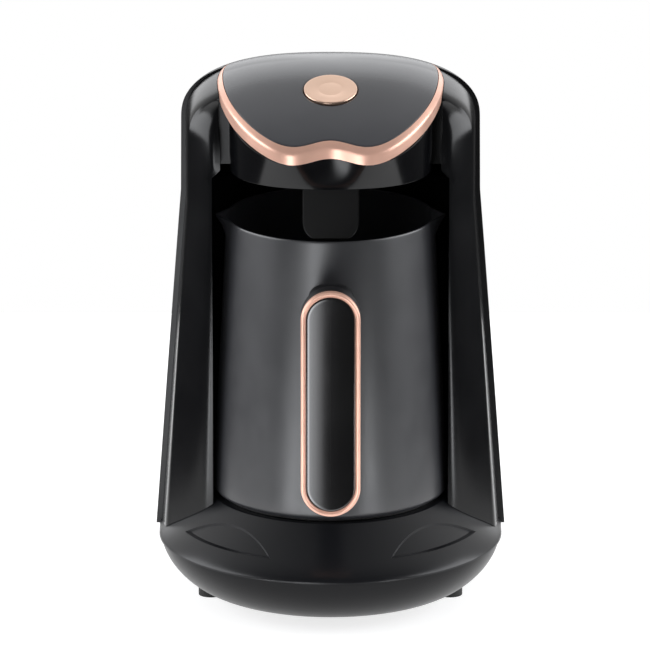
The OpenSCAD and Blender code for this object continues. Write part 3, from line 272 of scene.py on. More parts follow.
def panel_point(angle):
    """Point of the panel's outline at an angle in degrees, -90 in front."""
    s, c = math.sin(math.radians(angle)), math.cos(math.radians(angle))
    if s >= 0:
        return (PANEL_HW * signed_pow(c, 2 / PANEL_N_REAR), PANEL_Y + PANEL_REAR * s ** (2 / PANEL_N_REAR))
    x = PANEL_HW * signed_pow(c, 2 / PANEL_N_FRONT)
    return (x, PANEL_Y - PANEL_FRONT * (-s) ** (2 / PANEL_N_FRONT) + notch(x, NOTCH))


PANEL_LOOP = [panel_point(-90 + (i + 0.5) / 2) for i in range(720)]


def panel_move(p, outwards):
    """Moves a point of the panel's outline away from the panel's middle."""
    dx, dy = p[0], p[1] - PANEL_Y
    k = 1 + outwards / math.hypot(dx, dy)
    return (dx * k, PANEL_Y + dy * k)


def trim_share(y):
    return clamp01((TRIM_END - y) / (TRIM_END - PANEL_Y))


def trim_drop(y):
    return lerp(TRIM_REAR, TRIM_FRONT, clamp01((TRIM_END - y) / (TRIM_END - TRIM_FULL)))


PANEL_HOLE = [panel_move(p, TRIM_W * trim_share(p[1]) + PANEL_FIT) for p in PANEL_LOOP]


def cone_z(r):
    """Height of the deck's slope at a distance from the pot's axis."""
    return lerp(PLATFORM_Z, SLOPE_Z, (r - PLATFORM_R) / (SLOPE_R - PLATFORM_R))


def deck_z(r):
    """Height of the deck at a distance from the pot's axis."""
    if r <= PLATFORM_R:
        return PLATFORM_Z
    if r <= SLOPE_R:
        return cone_z(r)
    t = 1 - math.sqrt(clamp01((DECK_R - r) / (DECK_R - SLOPE_R)))
    return SLOPE_Z * (1 - t) ** 2 + 2 * cone_z(DECK_R) * t * (1 - t) + (DECK_RIM_Z + 0.5) * t * t


def deck_under(x, y):
    """Height of the deck under a place: behind the pot's axis it runs straight back."""
    return deck_z(math.hypot(x, min(0.0, y)))


def pot_r(z):
    return lerp(POT_BASE_R, POT_RIM_R, (z - POT_FOOT_Z) / (POT_RIM_Z - POT_FOOT_Z))


def ray_hit(outline, origin, direction):
    """Furthest distance at which a ray in plan meets a closed outline."""
    best = 0.0
    ox, oy = origin
    dx, dy = direction
    for (ax, ay), (bx, by) in zip(outline, outline[1:] + outline[:1]):
        ex, ey = bx - ax, by - ay
        det = dx * -ey + dy * ex
        if abs(det) < 1e-12:
            continue
        t = ((ax - ox) * -ey + (ay - oy) * ex) / det
        k = (dx * (ay - oy) - dy * (ax - ox)) / det
        if t > best and -1e-9 <= k <= 1 + 1e-9:
            best = t
    return best


def last_true(low, high, test, rounds=30):
    """Place in a range up to which a test is true, found by halving the range."""
    for _ in range(rounds):
        mid = (low + high) / 2
        if test(mid):
            low = mid
        else:
            high = mid
    return low


# ---------------------------------------------------------------- mesh helpers


WELD = 2e-6  # points nearer than this, in metres, become one


def metres(p):
    return (p[X] / 1000, (p[Y] + POT_Y) / 1000, p[Z] / 1000)


class Skin:
    """Gathers grids of points in millimetres into one mesh."""

    def __init__(self):
        self.verts, self.faces = [], []

    def grid(self, rows, close_rows=False, close_cols=False):
        start, n = len(self.verts), len(rows[0])
        for row in rows:
            self.verts += [metres(p) for p in row]
        for j in range(len(rows) if close_rows else len(rows) - 1):
            for i in range(n if close_cols else n - 1):
                a, b = start + j * n, start + (j + 1) % len(rows) * n
                self.faces.append((a + i, a + (i + 1) % n, b + (i + 1) % n, b + i))
        return self

    def fan(self, ring, centre):
        start, n = len(self.verts), len(ring)
        self.verts += [metres(p) for p in ring] + [metres(centre)]
        self.faces += [(start + i, start + (i + 1) % n, start + n) for i in range(n)]
        return self

    def mirror(self):
        n = len(self.verts)
        self.verts += [(-x, y, z) for x, y, z in self.verts]
        self.faces += [tuple(i + n for i in reversed(f)) for f in self.faces]
        return self

    def mesh(self, name):
        mesh = bpy.data.meshes.new(name)
        mesh.from_pydata(self.verts, [], self.faces)
        bm = bmesh.new()
        bm.from_mesh(mesh)
        bmesh.ops.remove_doubles(bm, verts=bm.verts, dist=WELD)
        bmesh.ops.dissolve_degenerate(bm, edges=bm.edges, dist=WELD)
        bmesh.ops.recalc_face_normals(bm, faces=bm.faces)
        bm.to_mesh(mesh)
        bm.free()
        return mesh


def carve(mesh, cutters):
    """Cuts the cutters' volumes out of a mesh and gives the new mesh."""
    ob = bpy.data.objects.new("carved", mesh)
    scene.collection.objects.link(ob)
    helpers = []
    for cutter in cutters:
        helper = bpy.data.objects.new("cutter", cutter)
        scene.collection.objects.link(helper)
        helpers.append(helper)
        cut = ob.modifiers.new("cut", "BOOLEAN")
        cut.object = helper
        cut.operation = "DIFFERENCE"
        cut.solver = "EXACT"
    done = bpy.data.meshes.new_from_object(ob.evaluated_get(bpy.context.evaluated_depsgraph_get()))
    for helper in helpers + [ob]:
        bpy.data.objects.remove(helper)
    return done


def block(corners):
    """Cutter from the eight corners of a box: four below, four above, each in order round it."""
    low, high = corners[:4], corners[4:]
    skin = Skin().grid([low, high], close_cols=True)
    skin.grid([[low[0], low[1]], [low[3], low[2]]])
    skin.grid([[high[0], high[1]], [high[3], high[2]]])
    return skin.mesh("block")


def drum(centre, axis, radius, length, sides=192):
    """Cutter in the form of a cylinder from centre along axis."""
    turn = Vector(axis).to_track_quat("Z", "Y")
    ring = arc((0, 0), (radius, radius), 0, 360, sides)[:-1]
    rows = [[tuple(Vector(centre) + turn @ Vector((x, y, z))) for x, y in ring] for z in (0, length)]
    far = tuple(Vector(centre) + turn @ Vector((0, 0, length)))
    return Skin().grid(rows, close_cols=True).fan(rows[0], centre).fan(rows[1], far).mesh("drum")


def piece(name, mesh, body, material, *stands_for, sharp=34, bevel=0.0, segments=3):
    """Adds a finished piece that rides on a body in place of CAD nodes. bevel is in millimetres."""
    ob = bpy.data.objects.new(name, mesh)
    scene.collection.objects.link(ob)
    mesh.materials.clear()
    mesh.materials.append(material)
    mesh.shade_smooth()
    mesh.set_sharp_from_angle(angle=math.radians(sharp))
    if bevel:
        edges = ob.modifiers.new("edges", "BEVEL")
        edges.width = bevel / 1000
        edges.segments = segments
        edges.limit_method = "ANGLE"
        edges.angle_limit = math.radians(sharp)
        edges.harden_normals = True
    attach(ob, body)
    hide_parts(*stands_for)


# ---------------------------------------------------------------- materials

NOISE_LOW, NOISE_HIGH = 0.35, 0.65  # the range in which nearly all of a noise lies


class Finish:
    """A material of one principled shader, varied by noise in object space."""

    def __init__(self, name, base, roughness, metallic=0.0, specular=0.5, coat=0.0, coat_roughness=0.05):
        self.mat = bpy.data.materials.new(name)
        self.mat.use_nodes = True
        self.tree = self.mat.node_tree
        self.shader = self.tree.nodes["Principled BSDF"]
        sockets = self.shader.inputs
        sockets["Base Color"].default_value = (*base, 1)
        sockets["Roughness"].default_value = roughness
        sockets["Metallic"].default_value = metallic
        sockets["Specular IOR Level"].default_value = specular
        sockets["Coat Weight"].default_value = coat
        sockets["Coat Roughness"].default_value = coat_roughness
        self.base, self.roughness = base, roughness
        self.normal = None

    def link(self, a, b):
        self.tree.links.new(a, b)

    def noise(self, scale, detail=2.0, stretch=(1, 1, 1)):
        coord = self.tree.nodes.new("ShaderNodeTexCoord")
        mapping = self.tree.nodes.new("ShaderNodeMapping")
        mapping.inputs["Scale"].default_value = stretch
        self.link(coord.outputs["Object"], mapping.inputs["Vector"])
        texture = self.tree.nodes.new("ShaderNodeTexNoise")
        texture.inputs["Scale"].default_value = scale
        texture.inputs["Detail"].default_value = detail
        self.link(mapping.outputs["Vector"], texture.inputs["Vector"])
        return texture.outputs["Fac"]

    def mottle(self, scale, amount, stretch=(1, 1, 1)):
        """Colour that varies a little over the surface."""
        ramp = self.tree.nodes.new("ShaderNodeValToRGB")
        low, high = ramp.color_ramp.elements
        low.position, high.position = NOISE_LOW, NOISE_HIGH
        low.color = (*(c * (1 - amount) for c in self.base), 1)
        high.color = (*(min(1.0, c * (1 + amount)) for c in self.base), 1)
        self.link(self.noise(scale, 3.0, stretch), ramp.inputs["Fac"])
        self.link(ramp.outputs["Color"], self.shader.inputs["Base Color"])
        return self

    def smudge(self, scale, amount, stretch=(1, 1, 1)):
        """Roughness that varies over the surface."""
        remap = self.tree.nodes.new("ShaderNodeMapRange")
        remap.inputs["From Min"].default_value = NOISE_LOW
        remap.inputs["From Max"].default_value = NOISE_HIGH
        remap.inputs["To Min"].default_value = max(0.02, self.roughness - amount)
        remap.inputs["To Max"].default_value = self.roughness + amount
        self.link(self.noise(scale, 4.0, stretch), remap.inputs["Value"])
        self.link(remap.outputs["Result"], self.shader.inputs["Roughness"])
        return self

    def bump(self, source, strength, distance):
        """Relief from a texture, over the relief that is there already."""
        relief = self.tree.nodes.new("ShaderNodeBump")
        relief.inputs["Strength"].default_value = strength
        relief.inputs["Distance"].default_value = distance
        self.link(source, relief.inputs["Height"])
        if self.normal:
            self.link(self.normal, relief.inputs["Normal"])
        self.normal = relief.outputs["Normal"]
        self.link(self.normal, self.shader.inputs["Normal"])
        return self


def gloss_black(name, base=(0.0022, 0.0023, 0.0028), roughness=0.21, specular=0.36):
    """Polished plastic with a faint orange peel and a slight waviness."""
    f = Finish(name, base, roughness, specular=specular)
    f.mottle(40, 0.06).smudge(60, 0.015)
    f.bump(f.noise(420, 3), 0.05, 0.00004)
    return f.bump(f.noise(38, 2), 0.10, 0.00025).mat


def insert_gloss(name):
    """Deep black lacquer of the handle's insert."""
    f = Finish(name, (0.0006, 0.0006, 0.0008), 0.14, specular=1.0, coat=0.9, coat_roughness=0.1)
    return f.mottle(9, 0.12).smudge(26, 0.02).mat


def satin_black(name, base, roughness, specular=0.4):
    """Plastic with a fine moulded grain."""
    f = Finish(name, base, roughness, specular=specular)
    f.mottle(70, 0.06).smudge(110, 0.018)
    return f.bump(f.noise(1900, 4), 0.22, 0.00005).mat


def coated_pot(name):
    """Dark coating on drawn steel."""
    f = Finish(name, (0.018, 0.0184, 0.021), 0.36, specular=1.0)
    f.mottle(60, 0.06).smudge(90, 0.02)
    f.bump(f.noise(2600, 3), 0.10, 0.00003)
    return f.bump(f.noise(40, 2, (1, 1, 0.35)), 0.05, 0.0002).mat


def plated(name, base, roughness, metallic=1.0):
    f = Finish(name, base, roughness, metallic=metallic)
    f.mottle(60, 0.04).smudge(120, 0.03)
    return f.bump(f.noise(900, 2), 0.05, 0.00003).mat


def brushed(name, base, roughness, stretch=(1, 1, 30)):
    f = Finish(name, base, roughness, metallic=1.0)
    f.mottle(80, 0.12, stretch).smudge(160, 0.06, stretch)
    return f.bump(f.noise(700, 3, stretch), 0.15, 0.00004).mat


def moulded(name, base, roughness, grain=1500):
    f = Finish(name, base, roughness)
    f.mottle(45, 0.14).smudge(80, 0.06)
    return f.bump(f.noise(grain, 4), 0.2, 0.00006).mat


HOUSING_GLOSS = gloss_black("housing_gloss")
HEAD_GLOSS = gloss_black("head_gloss", roughness=0.16)
INSERT_GLOSS = insert_gloss("insert_gloss")
COVER_SATIN = satin_black("cover_satin", (0.006, 0.006, 0.0068), 0.34)
DECK_GLOSS = gloss_black("deck_gloss", (0.005, 0.0052, 0.0064), 0.3)
TRAY_SATIN = satin_black("tray_satin", (0.005, 0.0051, 0.006), 0.3, 0.2)
CHIN_SATIN = satin_black("chin_satin", (0.006, 0.006, 0.006), 0.5)
HANDLE_SATIN = satin_black("handle_satin", (0.008, 0.008, 0.009), 0.36)
TONGUE_GLOSS = gloss_black("tongue_gloss", (0.003, 0.003, 0.003), 0.3, 0.12)
PANEL_GLOSS = gloss_black("panel_gloss", (0.040, 0.041, 0.046), 0.24, 0.5)
POT_COAT = coated_pot("pot_coat")
ROSE = plated("rose_polished", (0.84, 0.50, 0.385), 0.34, 0.6)
ROSE_SATIN = plated("rose_satin", (0.80, 0.56, 0.43), 0.34)
RUBBER = moulded("rubber_black", (0.012, 0.012, 0.012), 0.72, 900)
ZINC = brushed("zinc_steel", (0.58, 0.58, 0.6), 0.3, (1, 1, 1))

# ---------------------------------------------------------------- rear cover


def cover_station(centre, direction):
    """Outside and inside of the cover's wall at one station, from the lower edge up to the panel's hole."""
    def at(rho, z):
        return (centre[0] + direction[0] * rho, centre[1] + direction[1] * rho, z)

    n = fullness(*at(TOP_HW, 0)[:2])
    end = math.acos((ray_hit(PANEL_HOLE, centre, direction) / TOP_HW) ** (n / 2))

    def side(inset):
        out = [at(wall_hw(z) - inset, z) for z in [lerp(LOW_Z, FLARE_Z, t) for t in steps(12)]]
        for t in steps(22):
            a = end * t
            x, y, _ = at(math.cos(a) ** (2 / n) * (TOP_HW - inset), 0)
            out.append((x, y, top_arc(y) - DOME_H + (DOME_H - inset) * math.sin(a) ** (2 / n)))
        return out

    return side(0), side(WALL)


def before_seam():
    """Cutter for everything in front of the leaning seam."""
    side, front = 100, -50
    return block([(x, y, z) for z in (0, 300) for x, y in
                  ((-side, front), (side, front), (side, seam_at(z)), (-side, seam_at(z)))])


def rear_cover():
    start_y = 2.0
    straight = [lerp(start_y, REAR_Y, t) for t in steps(8)][:-1]
    sections = [cover_station((0, y), (1, 0)) for y in straight]
    sections += [cover_station((0, REAR_Y), direction) for direction in arc((0, 0), (1, 1), 0, 180, 120)]
    sections += [cover_station((0, y), (-1, 0)) for y in reversed(straight)]
    skin = Skin().grid([outer + inner[::-1] for outer, inner in sections], close_cols=True)
    for outer, inner in (sections[0], sections[-1]):
        skin.grid([outer, inner])
    gland = drum((0, GLAND_Y, GLAND_Z), (0, 1, 0), GLAND_R, 60)
    return carve(skin.mesh("rear_cover_skin"), [before_seam(), gland])


piece("rear_cover_skin", rear_cover(), "housing", COVER_SATIN, "rear_cover", bevel=0.35)

# ---------------------------------------------------------------- front frame

BAND_POWER = 16  # the band draws in half evenly and half right at the crease
SHOULDER = math.radians(66)
STEP_FADE = 1.5
EAVE_Z = 218
SHOULDER_Z = 216
CHEEK_TOP = top_arc(CREASE_Y) - DOME_H + 17.4
CHEEK_FADE = 2.2  # powers of the cheek's fade and of its curve back to the crease
CHEEK_CURVE = 1.6
CHEEK_FALL = 0.8  # share of its width in which it curves back
GROOVE_GROWTH = 0.7  # how much wider the groove beside the head gets, and over what height
GROOVE_RISE = 6
FRAME_SHARES = (0.0, 0.25, 0.5, 0.7, 0.8, 0.86, 0.9, 0.93, 0.955, 0.975, 0.99, 1.0)
SEAM_SHOWN = 0.25  # gap between frame and deck
SETTLED_Z = 60
SOCKET_AREA_Y = 35  # the bay's wall round the socket lies behind and below these
SOCKET_AREA_Z = 90


def round_x(rho, y):
    return math.sqrt(max(0.0, rho ** 2 - max(0.0, y - REAR_Y) ** 2))


def frame_point(d, t):
    """Point of the frame's outside at the share d of the way from the seam to the crease.

    t runs 0..1 up the wall, 1..2 up to the eave and 2..3 round the shoulder.
    """
    drawn = 0.5 * d + 0.5 * d ** BAND_POWER
    if t > 2:
        u = math.cos(SHOULDER * (t - 2))
        inset = lerp(FRAME_STEP, STEP_TOP, min(1.0, STEP_FADE * (t - 2))) + drawn * BAND_TOP
        ridge_z = top_arc(REAR_Y) - DOME_H * (1 - squircle(u, DOME_N))
        y = lerp(seam_at(ridge_z) - GAP, CREASE_Y, d)
        x = round_x(u * (TOP_HW - inset), y)
        return (x, y, top_arc(y) - DOME_H + (DOME_H - inset) * squircle(u, fullness(x, y)))
    if t <= 1:
        z = lerp(LOW_Z, FLARE_Z, t)
    else:
        eave = top_arc(lerp(seam_at(EAVE_Z) - GAP, CREASE_Y, d)) - DOME_H
        z = lerp(FLARE_Z, eave, t - 1)
    y = lerp(seam_at(z) - GAP, CREASE_Y, d)
    return (round_x(wall_hw(z) - FRAME_STEP - drawn * lerp(BAND_TOP, BAND_BASE, flare(z)), y), y, z)


def frame_column(d):
    """Column of the frame's outside, up to the outline of panel and trim."""
    def outside(t):
        x, y, _ = frame_point(d, t)
        return x > ray_hit(PANEL_HOLE, (0, y), (1, 0))

    end = last_true(2.0, 3.0, outside) - 2
    ts = steps(26) + [1 + t for t in steps(8)][1:] + [2 + end * t ** 1.1 for t in steps(36)][1:]
    return [frame_point(d, t) for t in ts]


def cheek_y(x, z, crease_x):
    """Depth of the cheek: it bulges forward from its inner edge and falls back to the crease."""
    fade = squircle(clamp01((z - FADE_Z) / (CHEEK_TOP - FADE_Z)), CHEEK_FADE)
    t = clamp01((x - CHEEK_X) / max(0.01, crease_x - CHEEK_X))
    return CREASE_Y - CHEEK_REACH * fade * (1 - max(0.0, 1 - (1 - t) / CHEEK_FALL) ** CHEEK_CURVE)


def bay_radius(z):
    k = clamp01((z - BAY_TOP + CEIL_R) / CEIL_R)
    return BAY_R - CEIL_R * (1 - math.sqrt(1 - k * k))


def inner_x(z, crease_x):
    """Where the cheek ends: at the bay below its ceiling, at the groove beside the head above it."""
    if z >= BAY_TOP:
        return CHEEK_X + GROOVE_GROWTH * clamp01((z - SHOULDER_Z) / GROOVE_RISE)

    def in_bay(x):
        return math.hypot(x, cheek_y(x, z, crease_x)) < bay_radius(z)

    return max(last_true(CHEEK_X, crease_x, in_bay, 40), CHEEK_X)


def cheek_column(crease, share):
    """Column of the cheek at a share of the way from its inner edge to the crease."""
    out = []
    for crease_x, z in crease:
        x = lerp(min(inner_x(z, crease_x), crease_x), crease_x, share)
        out.append((x, cheek_y(x, z, crease_x), z))
    return out


def settle(column):
    """Ends a column on the deck, with the seam's width above it."""
    def clear(p):
        return p[Z] > deck_under(p[X], p[Y]) + SEAM_SHOWN

    def between(a, b, t):
        return tuple(lerp(u, v, t) for u, v in zip(a, b))

    first = next(i for i, p in enumerate(column) if clear(p))
    a, b = column[max(0, first - 1)], column[first]
    for _ in range(30):
        m = between(a, b, 0.5)
        if clear(m):
            b = m
        else:
            a = m
    rest = [p for p in column if p[Z] > SETTLED_Z]
    return [between(b, rest[0], t) for t in steps(6)][:-1] + rest


def bay_wall(p):
    """Row of the bay's wall at one height, from the cheek's edge to the middle of the back."""
    r, start = math.hypot(p[X], p[Y]), math.atan2(p[Y], p[X])
    angles = [lerp(start, math.pi / 2, t) for t in steps(40)]
    return [(r * math.cos(a), r * math.sin(a), p[Z]) for a in angles]


def socket_window(mesh):
    """Cuts the window for the socket into the bay's back wall and gives its edge a depth."""
    bm = bmesh.new()
    bm.from_mesh(mesh)
    sides = [(Vector((x / 1000, 0, 0)), Vector((1, 0, 0))) for x in (-SOCKET_HW, SOCKET_HW)]
    sides += [(Vector((0, 0, z / 1000)), Vector((0, 0, 1))) for z in (SOCKET_LOW, SOCKET_HIGH)]

    def near():
        _, behind, below = metres((0, SOCKET_AREA_Y, SOCKET_AREA_Z))
        middles = [(f, f.calc_center_median()) for f in bm.faces]
        return [(f, m) for f, m in middles if m.y > behind and m.z < below]

    for place, normal in sides:
        faces = [f for f, _ in near()]
        parts = faces + list({e for f in faces for e in f.edges}) + list({v for f in faces for v in f.verts})
        bmesh.ops.bisect_plane(bm, geom=parts, plane_co=place, plane_no=normal, dist=1e-6)
    hw, low, high = SOCKET_HW / 1000, SOCKET_LOW / 1000, SOCKET_HIGH / 1000
    inside = [f for f, m in near() if abs(m.x) < hw and low < m.z < high]
    rim = {v for f in inside for v in f.verts}
    bmesh.ops.delete(bm, geom=inside, context="FACES")
    edges = [e for e in bm.edges if len(e.link_faces) == 1 and all(v in rim and v.is_valid for v in e.verts)]
    made = bmesh.ops.extrude_edge_only(bm, edges=edges)["geom"]
    moved = [v for v in made if isinstance(v, bmesh.types.BMVert)]
    bmesh.ops.translate(bm, vec=(0, SOCKET_DEEP / 1000, 0), verts=moved)
    bmesh.ops.recalc_face_normals(bm, faces=bm.faces)
    bm.to_mesh(mesh)
    bm.free()
    return mesh


def front_frame():
    columns = [frame_column(d) for d in FRAME_SHARES]
    crease = [(x, z) for x, _, z in columns[-1]]
    columns += [cheek_column(crease, 1 - t) for t in steps(24)[1:]]
    columns = [settle(column) for column in columns]
    skin = Skin().grid(columns)
    edge = columns[-1]
    above = [p for p in edge if p[Z] >= BAY_TOP - 0.5]
    groove = [(GROOVE_X, CREASE_Y, z) for _, _, z in above]
    skin.grid([above, [(x, CREASE_Y, z) for x, _, z in above], groove])
    walls = [bay_wall(p) for p in edge if p[Z] <= BAY_TOP]
    skin.grid(walls)
    rim = walls[-1]
    halfway = [(x * 0.5, max(y * 0.5, CREASE_Y), z) for x, y, z in rim]
    skin.grid([rim, halfway, [(0, 0, z) for _, _, z in rim]])
    skin.grid([columns[0], [(x - WALL, y, z - WALL / 2 * (z > SHOULDER_Z)) for x, y, z in columns[0]]])
    return socket_window(skin.mirror().mesh("front_frame_skin"))


piece("front_frame_skin", front_frame(), "housing", HOUSING_GLOSS, "front_frame", sharp=50)

# ---------------------------------------------------------------- deck

DECK_SEAM = SEAM_Y - GAP
DENT_LEVEL_R = SLOPE_R - 1.6
DENT_OUT_R = SLOPE_R + 0.4  # here the dent's floor, which rises from DENT_LEVEL_R on, meets the slope


def deck():
    radii = [0, 20, 40, 50, PLATFORM_R - PLATFORM_EDGE] + [PLATFORM_R + PLATFORM_EDGE * t for t in steps(3)]
    radii += [lerp(PLATFORM_R + PLATFORM_EDGE, SLOPE_R, t) for t in steps(40)][1:]
    radii += [DECK_R - (DECK_R - SLOPE_R) * (1 - t) ** 2 for t in steps(18)][1:]
    profile = [(r, deck_z(r)) for r in radii] + [(DECK_R, DECK_RIM_Z), (DECK_R - WALL, DECK_RIM_Z)]
    profile += [(DECK_R - WALL, DECK_RIM_Z + 2), (PLATFORM_R, PLATFORM_Z - 4)]
    sections = [along((0, DECK_SEAM * (1 - t)), (1, 0), profile) for t in steps(3)][:-1]
    sections += [along((0, 0), direction, profile) for direction in arc((0, 0), (1, -1), 0, 180, 220)]
    sections += [along((0, DECK_SEAM * t), (-1, 0), profile) for t in steps(3)][1:]
    return Skin().grid(sections).mesh("deck_skin")


def dent(side):
    """Cutter for a half-moon dent: its floor follows the slope behind a step that is curved in plan."""
    reach = DENT_IN + DENT_R
    far = DENT_OUT_R + 1.5
    top = 70

    def floor(r):
        if r <= DENT_LEVEL_R:
            return cone_z(r) - DENT_STEP
        t = (r - DENT_LEVEL_R) / (DENT_OUT_R - DENT_LEVEL_R)
        return lerp(cone_z(DENT_LEVEL_R) - DENT_STEP, cone_z(DENT_OUT_R), t)

    rows = []
    for t in steps(120):
        a = math.radians(lerp(-DENT_SPREAD, DENT_SPREAD, t))
        near = reach * math.cos(a) - math.sqrt(DENT_R ** 2 - (reach * math.sin(a)) ** 2)
        middle = max(near + 0.01, DENT_LEVEL_R)
        low = [(r, floor(r)) for r in (near, lerp(near, middle, 0.5), middle, far)]
        plan = math.radians(-90 + side * DENT_ANGLE) + a
        rows.append(along((0, 0), (math.cos(plan), math.sin(plan)), low + [(far, top), (near, top)]))
    skin = Skin().grid(rows, close_cols=True)
    for end in (rows[0], rows[-1]):
        skin.fan(end, middle_of(end))
    return skin.mesh("dent")


def rear_platform():
    """Platform behind the seam, to the back of the bay, with a rim as high as the wall is thick."""
    r = BAY_R - BAY_FIT
    start = math.degrees(math.asin(DECK_SEAM / r))
    back = arc((0, 0), (r, r), start, 180 - start, 90)
    top = [(x, y, PLATFORM_Z) for x, y in back]
    skin = Skin().grid([top, [(x, DECK_SEAM, PLATFORM_Z) for x, _ in back]])
    return skin.grid([top, [(x, y, PLATFORM_Z - WALL) for x, y in back]]).mesh("platform_skin")


piece("deck_skin", carve(deck(), [dent(-1), dent(1)]), "housing", DECK_GLOSS, "base_deck", sharp=24)
piece("platform_skin", rear_platform(), "housing", DECK_GLOSS, "base_deck")

# ---------------------------------------------------------------- tray


def bowl(inset=0.0):
    rise, reach = TRAY_RIM_Z - TRAY_LOW_Z - inset, TRAY_RIM_R - TRAY_FLOOR_R
    quarter = [math.pi / 2 * t for t in steps(28)]
    return [(TRAY_FLOOR_R - inset + reach * math.sin(a) ** BOWL_POWER,
             TRAY_RIM_Z - rise * math.cos(a) ** BOWL_POWER) for a in quarter]


def vent(i):
    """Cutter for one of the slots in the tray's floor."""
    x = (i - (VENTS - 1) / 2) * VENT_PITCH
    left, right = x - VENT_HW, x + VENT_HW
    plan = [(left, VENT_FRONT), (right, VENT_FRONT), (right, VENT_BACK), (left, VENT_BACK)]
    return block([(px, py, z) for z in (0, 20) for px, py in plan])


def tray():
    inner = bowl(TRAY_WALL)
    profile = [(0, TRAY_LOW_Z)] + bowl() + [(inner[-1][0], TRAY_RIM_Z)] + inner[::-1][1:]
    profile.append((0, TRAY_LOW_Z + TRAY_WALL))
    sections = [along((0, 0), direction, profile) for direction in arc((0, 0), (1, -1), 0, 180, 110)]
    sections += [along((0, REAR_Y), direction, profile) for direction in arc((0, 0), (-1, 1), 0, 180, 110)]
    cutters = [vent(i) for i in range(VENTS)]
    cutters += [drum((x, y, 0), (0, 0, 1), RECESS_R, RECESS_Z, 64) for x, y in RECESSES]
    return carve(Skin().grid(sections, close_rows=True).mesh("tray_skin"), cutters)


piece("tray_skin", tray(), "housing", TRAY_SATIN, "base_tray", sharp=40)

# ---------------------------------------------------------------- head


def head_line(t, inset):
    """Outline in plan of the head at the share t of its height."""
    hw = lerp(HEAD_LOW_HW, HEAD_HW, t) - inset
    reach = lerp(HEAD_LOW_REACH, HEAD_REACH, t) - inset
    out = [(hw, CREASE_Y - GAP)]
    for a in [math.pi * k for k in steps(96)]:
        x = hw * signed_pow(math.cos(a), 2 / HEAD_N)
        out.append((x, HEAD_SIDE_Y - reach * math.sin(a) ** (2 / HEAD_N) + notch(x, HEAD_NOTCH * t ** 1.3)))
    return out + [(-hw, CREASE_Y - GAP)]


def head_shell():
    tops = [dome_z(x, y) - trim_drop(y) - GAP for x, y in head_line(1, 0)]

    def row(t, inset):
        return [(x, y, lerp(BAY_TOP, top, t)) for (x, y), top in zip(head_line(t, inset), tops)]

    levels = [0, 0.02, 0.05] + [lerp(0.1, 1, t) for t in steps(10)]
    outer = [row(t, 0) for t in levels]
    inner = [row(t, WALL) for t in levels]
    return Skin().grid(inner[::-1] + outer, close_rows=True).mesh("head_skin")


piece("head_skin", head_shell(), "housing", HEAD_GLOSS, "head_shell", sharp=40, bevel=0.5)


def trim_section(p):
    """Section of the trim: a bevel that falls outwards from the panel and a lower face that wraps under."""
    s = TRIM_LEAST + (1 - TRIM_LEAST) * trim_share(p[1])
    w, bevel, drop, ledge = TRIM_W * s, TRIM_BEVEL * s, trim_drop(p[1]), PANEL_T + 0.3
    edge = bevel + 0.35 * s
    marks = [(GAP, 0.35 * s), (2 * GAP, 0.1), (w * 0.3, 0.12 * s + 0.05), (w * 0.78, bevel * 0.72)]
    marks += [(w * 0.93, bevel), (w, edge)]
    marks += [(w - 0.05 * s, lerp(edge, drop, t)) for t in (0.25, 0.5, 0.75)]
    marks += [(w - 0.1 * s, drop - 0.3 * s), (w - 0.35 * s, drop), (-TRIM_LIP, drop), (-TRIM_LIP, ledge)]
    out = []
    for outwards, depth in marks + [(GAP, ledge)]:
        x, y = panel_move(p, outwards)
        out.append((x, y, dome_z(x, y) - depth))
    return out


def trim():
    shown = [p for p in PANEL_LOOP if p[1] < TRIM_END]
    sections = [trim_section(p) for p in shown if p[0] < 0] + [trim_section(p) for p in shown if p[0] > 0]
    skin = Skin().grid(sections, close_cols=True)
    for end in (sections[0], sections[-1]):
        skin.fan(end, middle_of(end))
    return skin.mesh("trim_skin")


piece("trim_skin", trim(), "housing", ROSE, "top_trim", sharp=26)

TILT = math.asin((ARC_Y - BUTTON_Y) / ARC_R)


def on_button(x, y, z):
    """Point in the button's tilted frame to millimetres from the pot's axis."""
    c, s = math.cos(TILT), math.sin(TILT)
    return (x, BUTTON_Y + y * c - z * s, top_arc(BUTTON_Y) + y * s + z * c)


def button_rings(profile, sides):
    """Rings round the button's axis at (radius, height) places."""
    turn = [math.tau * k / sides for k in range(sides)]
    return [[on_button(r * math.cos(a), r * math.sin(a), z) for a in turn] for r, z in profile]


def panel():
    """Panel with a rounded edge and a hole for the button."""
    columns = []
    for near in button_rings([(BUTTON_R + BUTTON_GAP, 0)], 288)[0]:
        away = Vector((near[X], near[Y] - BUTTON_Y)).normalized()
        far = ray_hit(PANEL_LOOP, (0, BUTTON_Y), tuple(away))
        start = math.hypot(near[X], near[Y] - BUTTON_Y)
        marks = [(start, 4.2), (start, 0.35), (start + 0.12, 0.12), (start + 0.35, 0)]
        marks += [(lerp(start + 0.35, far - 0.5, t), 0) for t in steps(56)][1:]
        marks += [(far - 0.22, 0.04), (far - 0.06, 0.16), (far, 0.4), (far, PANEL_T), (start + 2, PANEL_T)]
        column = []
        for r, depth in marks:
            x, y = away.x * r, BUTTON_Y + away.y * r
            column.append((x, y, dome_z(x, y) - depth))
        columns.append(column)
    return Skin().grid(columns, close_rows=True).mesh("panel_skin")


piece("panel_skin", panel(), "housing", PANEL_GLOSS, "top_panel", sharp=40)


